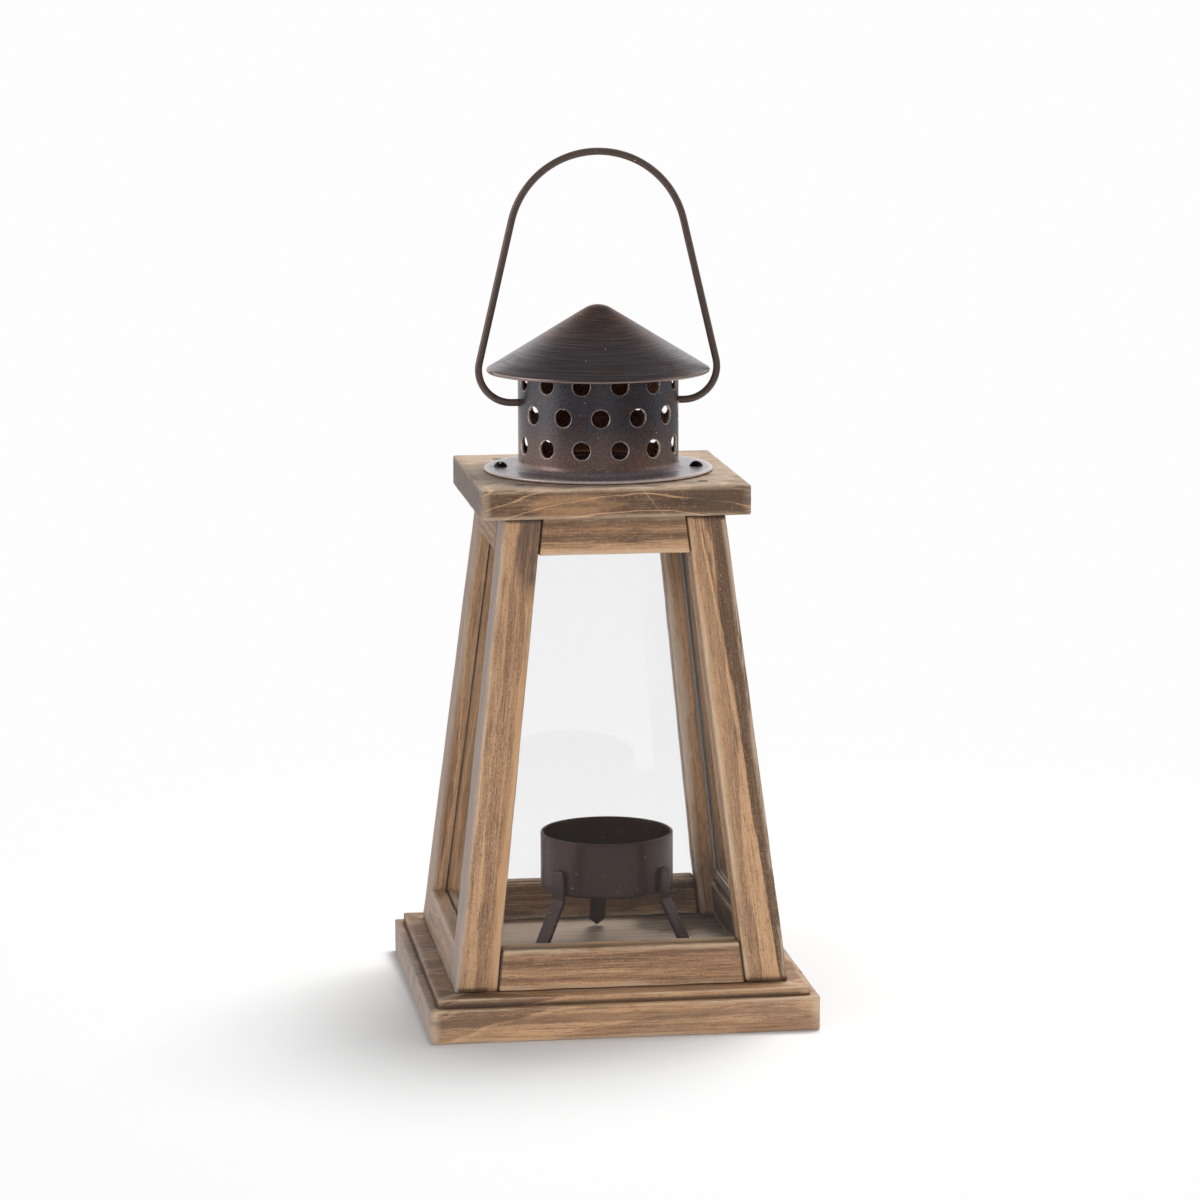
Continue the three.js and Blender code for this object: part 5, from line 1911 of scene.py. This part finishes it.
@dataclass
class Door:
    """The glazed door in the right side: a folded channel round the glass, pins and a knob."""

    side: Side
    channel: Pair = (4.0 * MM, 3.6 * MM)
    middle: float = 6.0 * MM
    sheet: float = 0.6 * MM
    fold: float = 0.5 * MM
    glass_play: float = 0.2 * MM
    bite: float = 2.4 * MM
    lap: float = 2.4 * MM
    swing: float = 0.5 * MM
    edge_wear: float = 0.25
    parts: int = 40
    pin: Triple = (0.8 * MM, 4.5 * MM, 0.3 * MM)
    knob: tuple[float, float, float, float] = (2.1 * MM, 1.0 * MM, 1.6 * MM, 5.4 * MM)
    levels: Pair = field(init=False)
    turning: float = field(init=False)

    def __post_init__(self) -> None:
        """Takes the door's lower and upper edges from its pane, which sits in the channel."""
        low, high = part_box("door_pane")
        inset = self.channel[0] - self.bite
        self.levels = (low.z - inset, high.z + inset)
        self.turning = math.hypot(self.channel[0] / 2, self.channel[1] / 2)

    def axis(self, z: Array) -> Array:
        """Returns how far across the turning axis is at a height."""
        return self.side.clear(z) - self.turning - self.swing

    def channel_piece(self, material: Material) -> None:
        """Builds the channel: a folded section carried round the door's outline.

        The section is a U of sheet that opens inward. Each corner of the outline is mitred: a point
        that is w in from the outline lies at corner + w (n1 + n2) / (1 + n1 . n2).

        Args:
            material: The door's metal.
        """
        width, thick = self.channel
        low, high = self.levels
        z = np.array([low, low, high, high])
        front, back = -self.side.clear(z) - self.lap, self.axis(z) + width / 2
        plan = np.stack([np.array([front[0], back[1], back[2], front[3]]), z], axis=-1)
        path = walked(plan, (self.parts,) * 4)
        edges = turn_left(unit(np.roll(plan, -1, axis=0) - plan))
        inward = np.repeat(edges, self.parts, axis=0)
        before = np.roll(edges, 1, axis=0)
        bend = np.sum(before * edges, axis=-1, keepdims=True)
        inward[:: self.parts] = (before + edges) / (1 + bend)
        half, fold = thick / 2, self.fold
        slot, face = width - self.bite - self.glass_play, half - self.sheet
        section = np.concatenate([
            [[width, half]],
            arc((fold, half - fold), fold, 90, 180, 4),
            arc((fold, -half + fold), fold, 180, 270, 4),
            [[width, -half], [width, -face], [slot, -face], [slot, face], [width, face]],
        ])
        across = path[:, None, 0] + inward[:, None, 0] * section[:, 0]
        z = path[:, None, 1] + inward[:, None, 1] * section[:, 0]
        skin = unworn(self.side.place(across, self.middle + section[:, 1] + np.zeros_like(z), z))
        skin.wear[:, 1:11] = self.edge_wear
        piece = from_grid("door_frame_channel", skin, Cap.OPEN, wrap_rows=True)
        self.pins(piece)
        place(piece, Body.DOOR, "door_metal", material, "door_frame")

    def pins(self, piece: Object) -> None:
        """Adds the two hinge pins to the channel's mesh, as rods along the turning axis.

        Args:
            piece: The channel.
        """
        radius, length, ease = self.pin
        levels = np.array(self.levels)
        start, end = self.side.place(self.axis(levels), np.full(2, self.middle), levels)
        along = unit(end - start)
        aside = unit(np.cross(along, [0.0, 1.0, 0.0]))
        other = np.cross(along, aside)
        angle = np.arange(24) * 2 * math.pi / 24
        ring = radius * (np.cos(angle)[:, None] * aside + np.sin(angle)[:, None] * other)
        shape = bmesh.new()
        shape.from_mesh(piece.data)
        for at, way in ((start, -1), (end, 1)):
            stops = np.array([-0.2 * MM, length - ease, length]) * way
            rings = at + stops[:, None, None] * along + ring * np.array([1, 1, 0.7])[:, None, None]
            new = from_grid("pin", unworn(rings))
            shape.from_mesh(new.data)
            bpy.data.objects.remove(new)
        shape.to_mesh(piece.data)
        shape.free()
        shade(piece, 35.0)

    def knob_piece(self, material: Material) -> None:
        """Builds the knob: a turned base, neck and ball, square to the door.

        Args:
            material: The door's metal.
        """
        ball, neck, foot, length = self.knob
        meet = math.degrees(math.acos(neck / ball))
        profile = np.concatenate([
            [[0.3 * MM, 0.0], [foot, 0.0], [foot, 0.5 * MM], [foot - 0.3 * MM, 0.8 * MM]],
            [[neck + 0.2 * MM, 0.85 * MM], [neck, 1.1 * MM]],
            arc((0.0, length - ball), ball, -meet, 89, 20),
        ])
        skin = turned(profile, 40)
        low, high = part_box("door_knob")
        side = self.side
        lean = math.atan2(side.foot_out - side.head_out, side.levels[1] - side.levels[0])
        turn = np.array([
            [math.sin(lean), 0.0, math.cos(lean)],
            [0.0, 1.0, 0.0],
            [-math.cos(lean), 0.0, math.sin(lean)],
        ])
        points = skin.points @ turn
        points += np.array([low.x, (low.y + high.y) / 2, (low.z + high.z) / 2]) - [
            points[..., 0].min(), 0.0, (points[..., 2].min() + points[..., 2].max()) / 2
        ]
        piece = from_grid("door_knob_turned", Skin(points, skin.wear), Cap.POLE)
        place(piece, Body.DOOR, "door_metal", material, "door_knob")

    def build(self, finish: MetalFinish) -> None:
        """Builds the channel, its pins and the knob.

        Args:
            finish: Their metal.
        """
        material = finish.material("door bronze")
        self.channel_piece(material)
        self.knob_piece(material)


# Glass


@dataclass(frozen=True)
class GlassFinish:
    """Clear float glass that lamps shine through."""

    tint: Colour = (0.985, 0.986, 0.99, 1.0)
    shadow: Colour = (0.92, 0.93, 0.93, 1.0)
    index: float = 1.45

    def material(self, name: str) -> Material:
        """Makes the glass: a smooth dielectric that is plainly see-through to shadow rays.

        Args:
            name: The material's name.

        Returns:
            The material.
        """
        made, t = new_material(name)
        glass = t.node("BsdfPrincipled", {
            "Base Color": self.tint, "Roughness": 0.0, "IOR": self.index, "Transmission Weight": 1.0
        })
        clear = t.node("BsdfTransparent", {"Color": self.shadow})
        shaded = t.paths()["Is Shadow Ray"]
        t.surface(t.node("MixShader", {0: shaded, 1: glass.outputs[0], 2: clear.outputs[0]}))
        return made


# Studio


@dataclass(frozen=True)
class Lamp:
    """A softbox: its place, its width and height, its power and whether polish mirrors it."""

    name: str
    at: Triple
    size: Pair
    power: float
    mirrored: bool = False


@dataclass(frozen=True)
class Studio:
    """The floor, lights, white surroundings and camera."""

    image: float = 1200.0
    focal_px: float = 4385.1
    yaw: float = 7.788
    pitch: float = 9.469
    roll: float = -0.175
    stand: Triple = (-0.1833, -1.3431, 0.3514)
    sensor: float = 36.0
    clip: Pair = (0.05, 60.0)
    ambient: float = 0.32
    white: float = 0.985
    floor_half: float = 8.0
    floor_shade: float = 0.74
    floor_fade: Pair = (0.16, 0.42)
    target: Triple = (0.0, 0.0, 0.12)
    lamps: tuple[Lamp, ...] = (
        Lamp("key", (0.3, 0.36, 1.4), (0.6, 0.6), 22.0),
        Lamp("front", (-0.3, -1.6, 0.45), (1.2, 0.7), 15.0),
        Lamp("left", (-1.3, -0.2, 0.6), (0.7, 1.1), 2.2, True),
    )

    def camera(self) -> None:
        """Places the camera where the photograph was taken from."""
        data = bpy.data.cameras.new("camera")
        data.sensor_width = self.sensor
        data.lens = self.focal_px * self.sensor / self.image
        data.clip_start, data.clip_end = self.clip
        camera = linked("camera", data)
        yaw, pitch, roll = (math.radians(a) for a in (self.yaw, self.pitch, self.roll))
        right = Vector((math.cos(yaw), -math.sin(yaw), 0.0))
        ahead = Vector(
            (math.sin(yaw) * math.cos(pitch), math.cos(yaw) * math.cos(pitch), -math.sin(pitch))
        )
        up = right.cross(ahead)
        tilted = right * math.cos(roll) + up * math.sin(roll)
        upright = up * math.cos(roll) - right * math.sin(roll)
        turn = Matrix((tilted, upright, -ahead)).transposed()
        camera.matrix_world = Matrix.Translation(self.stand) @ turn.to_4x4()
        bpy.context.scene.camera = camera

    def floor(self) -> None:
        """Lays a pale floor that fades into the white surroundings away from the lantern.

        Polished surfaces see it white under and behind the lantern, and dark in front and aside.
        """
        half = self.floor_half
        mesh = bpy.data.meshes.new("floor")
        corners = [(-half, -half, 0), (half, -half, 0), (half, half, 0), (-half, half, 0)]
        mesh.from_pydata(corners, [], [(0, 1, 2, 3)])
        floor = linked("floor", mesh)
        made, t = new_material("floor")
        lit = t.node("BsdfDiffuse", {"Color": (*(self.floor_shade,) * 3, 1.0)})
        path, place = t.paths(), t.place()
        x, y, _ = t.split(place)
        mirrored = t.math("GREATER_THAN", path["Glossy Depth"], 0.5)
        seen = path["Is Camera Ray"].over(path["Is Transmission Ray"])
        seen = seen * t.ramp(t.vector("LENGTH", place), *self.floor_fade)
        ahead = t.ramp(y, -0.05, -0.4, (self.white, 0.22))
        ahead = ahead * t.ramp(x, 0.2, 0.6, (1.0, 0.3)) * t.ramp(x, -0.1, -0.4, (1.0, 0.6))
        white = t.node("Emission", {"Strength": mirrored * ahead + (1.0 - mirrored) * self.white})
        t.surface(t.node("MixShader", {
            0: seen.over(mirrored), 1: lit.outputs[0], 2: white.outputs[0]
        }))
        mesh.materials.append(made)

    def world(self) -> None:
        """Sets plain soft light, and white surroundings in view.

        Polished surfaces see the white only near the horizon: it is dark overhead and behind the
        camera, as in a room round a white sweep.
        """
        world = bpy.data.worlds.new("studio")
        bpy.context.scene.world = world
        world.use_nodes = True
        t = Tree(world.node_tree)
        path = t.paths()
        x, y, z = t.split(t.value("TexCoord", None, "Generated"))
        behind = t.ramp(y, -0.8, -0.15, (0.12, self.white))
        above = t.ramp(z, 0.25, 0.75, (1.0, 0.14))
        aside = t.ramp(x, 0.45, 0.8, (1.0, 0.7))
        bounced = t.math("GREATER_THAN", path["Glossy Depth"], 0.5)
        straight = path["Is Camera Ray"].over(path["Is Transmission Ray"])
        glossy = path["Is Glossy Ray"].over(bounced * path["Is Transmission Ray"])
        mirrored = glossy * (behind * above * aside)
        plain = straight * (1.0 - bounced)
        other = 1.0 - straight.over(path["Is Glossy Ray"])
        strength = mirrored + plain * self.white + other * self.ambient
        inputs = {"Color": (1.0, 1.0, 1.0, 1.0), "Strength": strength}
        t.surface(t.node("Background", inputs), "World")

    def hang(self, lamp: Lamp) -> None:
        """Hangs a softbox that faces the lantern's middle.

        Args:
            lamp: The softbox.
        """
        data = bpy.data.lights.new(lamp.name, "AREA")
        data.shape = "RECTANGLE"
        data.size, data.size_y = lamp.size
        data.energy = lamp.power
        made = linked(lamp.name, data)
        made.location = lamp.at
        facing = Vector(self.target) - Vector(lamp.at)
        made.rotation_euler = facing.to_track_quat("-Z", "Y").to_euler()
        made.visible_glossy = made.visible_transmission = lamp.mirrored

    def build(self) -> None:
        """Sets up the camera, the floor, the surroundings and the lamps."""
        self.camera()
        self.floor()
        self.world()
        for lamp in self.lamps:
            self.hang(lamp)
        bpy.context.scene.view_settings.view_transform = "Standard"


# Finishes of this lantern

# Painted sheen: grey laid on faces seen at a grazing angle, in place of their reflection of the
# white surroundings.
PAINTED_SHEEN_GREY = colour(154, 138, 130)
# Weathering and painted sheen: grey on the top board's top face, and painted sheen on the back
# right leg's inner face.
WEATHER_AND_SHEEN_GREY = colour(202, 183, 167)
# Painted light: a lighter grey for the base's top inside the housing, where glass and walls keep
# the light low.
PAINTED_LIGHT_FLOOR = colour(166, 152, 139)
GOLDEN = colour(192, 148, 106)
# Soot on the wood, and painted shadow at the foot of the back right leg.
SOOT_AND_SHADE = colour(88, 70, 59)
BROWN = colour(122, 92, 71)
PALE_RING = colour(200, 157, 118)
# Painted light: lightens the front of the top board's top face, which the cap shades.
PAINTED_LIGHT_TOP = colour(228, 206, 188)

PINE = {
    "base_board": PineFinish(
        seed=11, pitch=6.0, pith=(0.0, -34.0, -26.0), slope=0.04, bow=3.0, bow_at=25.0,
        ring_tone=1.0, scorch=0.45, tone=0.4, split_way=(0.035, 0.0, -1.0), split_at=0.6,
        split_bow=0.5, split_tone=-0.35, saw=0.3,
        stains=(
            # Painted sheen on the base's left face.
            Stain((-60.5, 0.0, 0.0), (2.0, 200.0, 30.0), PAINTED_SHEEN_GREY, 0.6),
            Stain((-58.0, 0.0, 5.6), (9.0, 90.0, 3.5), SOOT_AND_SHADE, 0.5),
            Stain((50.0, -58.0, 5.6), (30.0, 6.0, 2.6), SOOT_AND_SHADE, 0.15),
            # Painted light on the base's top inside the housing.
            Stain((0.0, 0.0, 7.0), (56.0, 56.0, 1.6), PAINTED_LIGHT_FLOOR, 0.75),
            # Painted shadow in the inside back right corner of the base.
            Stain((36.0, 38.0, 6.6), (22.0, 26.0, 3.0), CHAR_AND_SHADE_PINE, 0.8),
            Stain((-10.0, -60.0, 0.0), (60.0, 3.0, 1.6), BROWN, 0.6),
            Stain((52.0, -60.0, -5.5), (20.0, 3.0, 3.0), BROWN, 0.5),
        ),
    ),
    "leg_front_left": PineFinish(
        seed=21, pitch=7.0, pith=(0.0, 16.0, 9.0), slope=0.02, tone=0.86, scorch=0.3,
        ring_tone=0.8, ring_line=0.6, split_at=-2.6, split_bow=-0.6, split_tone=0.4, speckle=0.6,
        stains=(
            # Painted sheen on the leg's left face.
            Stain((0.0, -7.2, 0.0), (400.0, 1.2, 60.0), PAINTED_SHEEN_GREY, 0.9),
            Stain((64.0, 3.5, -6.0), (14.0, 6.0, 8.0), SOOT_AND_SHADE, 0.75),
            Stain((-22.0, 4.6, -7.0), (74.0, 2.4, 8.0), GOLDEN, 0.6),
        ),
    ),
    "leg_front_right": PineFinish(
        seed=24, pitch=11.0, pith=(0.0, -18.0, 3.0), slope=0.01, tone=1.12, ring_tone=0.4,
        ring_line=0.8, scorch=0.25, split_way=(0.04, 1.0, 0.0), split_at=2.2, split_bow=0.2,
        split_tone=1.4, speckle=0.5,
        # Painted sheen on the leg's left face.
        stains=(Stain((0.0, -7.2, 0.0), (400.0, 1.2, 60.0), PAINTED_SHEEN_GREY, 0.6),),
    ),
    "leg_back_left": PineFinish(
        seed=27, tone=0.82, scorch=0.3, ring_tone=1.0,
        # Painted sheen on the leg's left face.
        stains=(Stain((0.0, -7.2, 0.0), (400.0, 1.2, 60.0), PAINTED_SHEEN_GREY, 0.6),)
    ),
    "leg_back_right": PineFinish(
        seed=30, tone=0.85, scorch=0.3, stains=(
            # Painted sheen on the leg's inner left face.
            Stain((4.0, -7.2, 0.0), (46.0, 4.5, 60.0), WEATHER_AND_SHEEN_GREY, 0.7),
            # Painted shadow round the leg's foot, in the inside back right corner.
            Stain((-66.0, 0.0, 0.0), (20.0, 16.0, 16.0), SOOT_AND_SHADE, 0.6),
        ),
    ),
    "bottom_rail_front": PineFinish(
        seed=33, pitch=4.0, pith=(0.0, 34.0, 4.0), tone=0.46, ring_tone=0.5, ring_line=0.3,
        scorch=0.2,
    ),
    "bottom_rail_back": PineFinish(seed=36, pitch=4.0, tone=-0.05, scorch=0.8),
    "bottom_rail_left": PineFinish(
        seed=39, pitch=4.0, tone=0.5, scorch=0.3,
        # Painted sheen over the whole left rail.
        stains=(Stain((0.0, 0.0, 0.0), (200.0, 40.0, 40.0), PAINTED_SHEEN_GREY, 0.35),)
    ),
    "bottom_rail_right": PineFinish(seed=42, pitch=4.0, tone=-0.2, scorch=0.9),
    "top_rail_front": PineFinish(
        seed=45, pitch=9.0, pith=(0.0, 24.0, 2.0), ring_tone=0.5, tone=0.8, ring_line=0.6,
        scorch=0.4, split_way=(0.02, 1.0, 0.0), split_at=-1.6, split_tone=0.7,
    ),
    "top_rail_back": PineFinish(seed=48, tone=0.4),
    "top_rail_left": PineFinish(seed=51, tone=0.4),
    "top_rail_right": PineFinish(seed=54, tone=0.4),
    "top_board": PineFinish(
        seed=57, pitch=4.6, pith=(0.0, -36.0, -20.0), slope=0.04, bow=9.0, bow_at=6.0,
        ring_tone=0.8, scorch=0.5, tone=-0.42, split_way=(1.0, 0.0, 0.9), split_at=11.0,
        split_tone=0.4, ring_line=0.8, light=PALE_RING,
        stains=(
            # Weathering and painted sheen on the top face.
            Stain((0.0, 0.0, 6.2), (90.0, 90.0, 2.0), WEATHER_AND_SHEEN_GREY, 0.6),
            # Painted light on the front of the top face, in the cap's shadow.
            Stain((-4.0, -39.0, 6.6), (40.0, 7.0, 2.0), PAINTED_LIGHT_TOP, 0.7),
            # Painted sheen on the top board's left end.
            Stain((-42.0, 0.0, 0.0), (1.6, 200.0, 60.0), PAINTED_SHEEN_GREY, 0.5),
            Stain((-42.0, 0.0, 0.0), (3.4, 60.0, 8.0), SOOT_AND_SHADE, 0.45),
            Stain((-12.0, -42.0, -1.0), (14.0, 5.0, 4.0), GOLDEN, 0.4),
            Stain((32.0, -42.0, 1.0), (14.0, 6.0, 5.0), SOOT_AND_SHADE, 0.6),
        ),
    ),
}

COLLAR = MetalFinish(
    base=colour(103, 100, 106), patch=colour(122, 88, 70), worn=colour(250, 234, 220),
    metallic=0.88, roughness=0.25, patch_roughness=0.38, seed=3.0, patches=0.48, grit=1.1,
    dust=0.3, patch_size=6.0, bump=0.3,
    bands=(
        Tint(0.186, 0.171, colour(162, 124, 102), 0.45),
        Tint(0.1698, 0.1676, colour(144, 135, 140)),
    ),
    lining=Tint(0.0246, 0.0244, colour(116, 80, 66)),
)
CAP = MetalFinish(
    base=colour(149, 141, 145), patch=colour(150, 122, 110), worn=colour(186, 160, 148),
    roughness=0.34, seed=5.0, patches=0.46, scratches=0.6, grit=0.45, flow=Flow.ROUND_THE_AXIS,
    bump=0.14,
    crown=Tint(0.203, 0.217, colour(198, 150, 126)),
)
WIRE = MetalFinish(
    base=colour(108, 92, 86), patch=colour(128, 100, 86), worn=colour(160, 134, 118), metallic=0.6,
    roughness=0.34, seed=7.0, patch_size=5.0, patches=0.45, grit=0.3, dust=0.1, bump=0.08,
)
CUP = MetalFinish(
    base=colour(71, 55, 52), patch=colour(92, 69, 60), worn=colour(108, 88, 80), metallic=0.55,
    roughness=0.36, seed=9.0, patch_size=9.0, patches=0.45, grit=0.25, scratches=0.05, dust=0.5,
    flow=Flow.UPRIGHT, bump=0.05,
)
DOOR_METAL = MetalFinish(
    base=colour(152, 136, 124), patch=colour(140, 118, 103), worn=colour(172, 152, 136),
    metallic=0.35, roughness=0.45, seed=13.0, patch_size=8.0, patches=0.4, grit=0.2, bump=0.06,
)
SCREW = MetalFinish(
    base=colour(58, 58, 58), patch=colour(76, 66, 58), worn=colour(120, 116, 112), roughness=0.35,
    seed=15.0, patch_size=2.0, patches=0.4, grit=0.3, bump=0.1,
)
GLASS = GlassFinish()


def main() -> None:
    """Builds the shared groups, the studio and the lantern's pieces."""
    logging.basicConfig(level=logging.INFO, format="%(name)s %(message)s")
    pine_group()
    stain_and_light_group()
    patina_group()
    Studio().build()
    housing = Housing()
    housing.build(PINE)
    Chimney().build(COLLAR, CAP, SCREW)
    Bail().build(WIRE)
    TealightHolder().build(CUP)
    Door(housing.sides["right"]).build(DOOR_METAL)
    glass = GLASS.material("float glass")
    for node in ("pane_front", "pane_back", "pane_left", "door_pane"):
        paint(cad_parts[node], glass)
    fastener = SCREW.material("black steel")
    for corner in CORNERS:
        for node in (f"base_screw_{corner}", f"top_nail_{corner}"):
            paint(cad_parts[node], fastener)


if __name__ == "__main__":
    main()
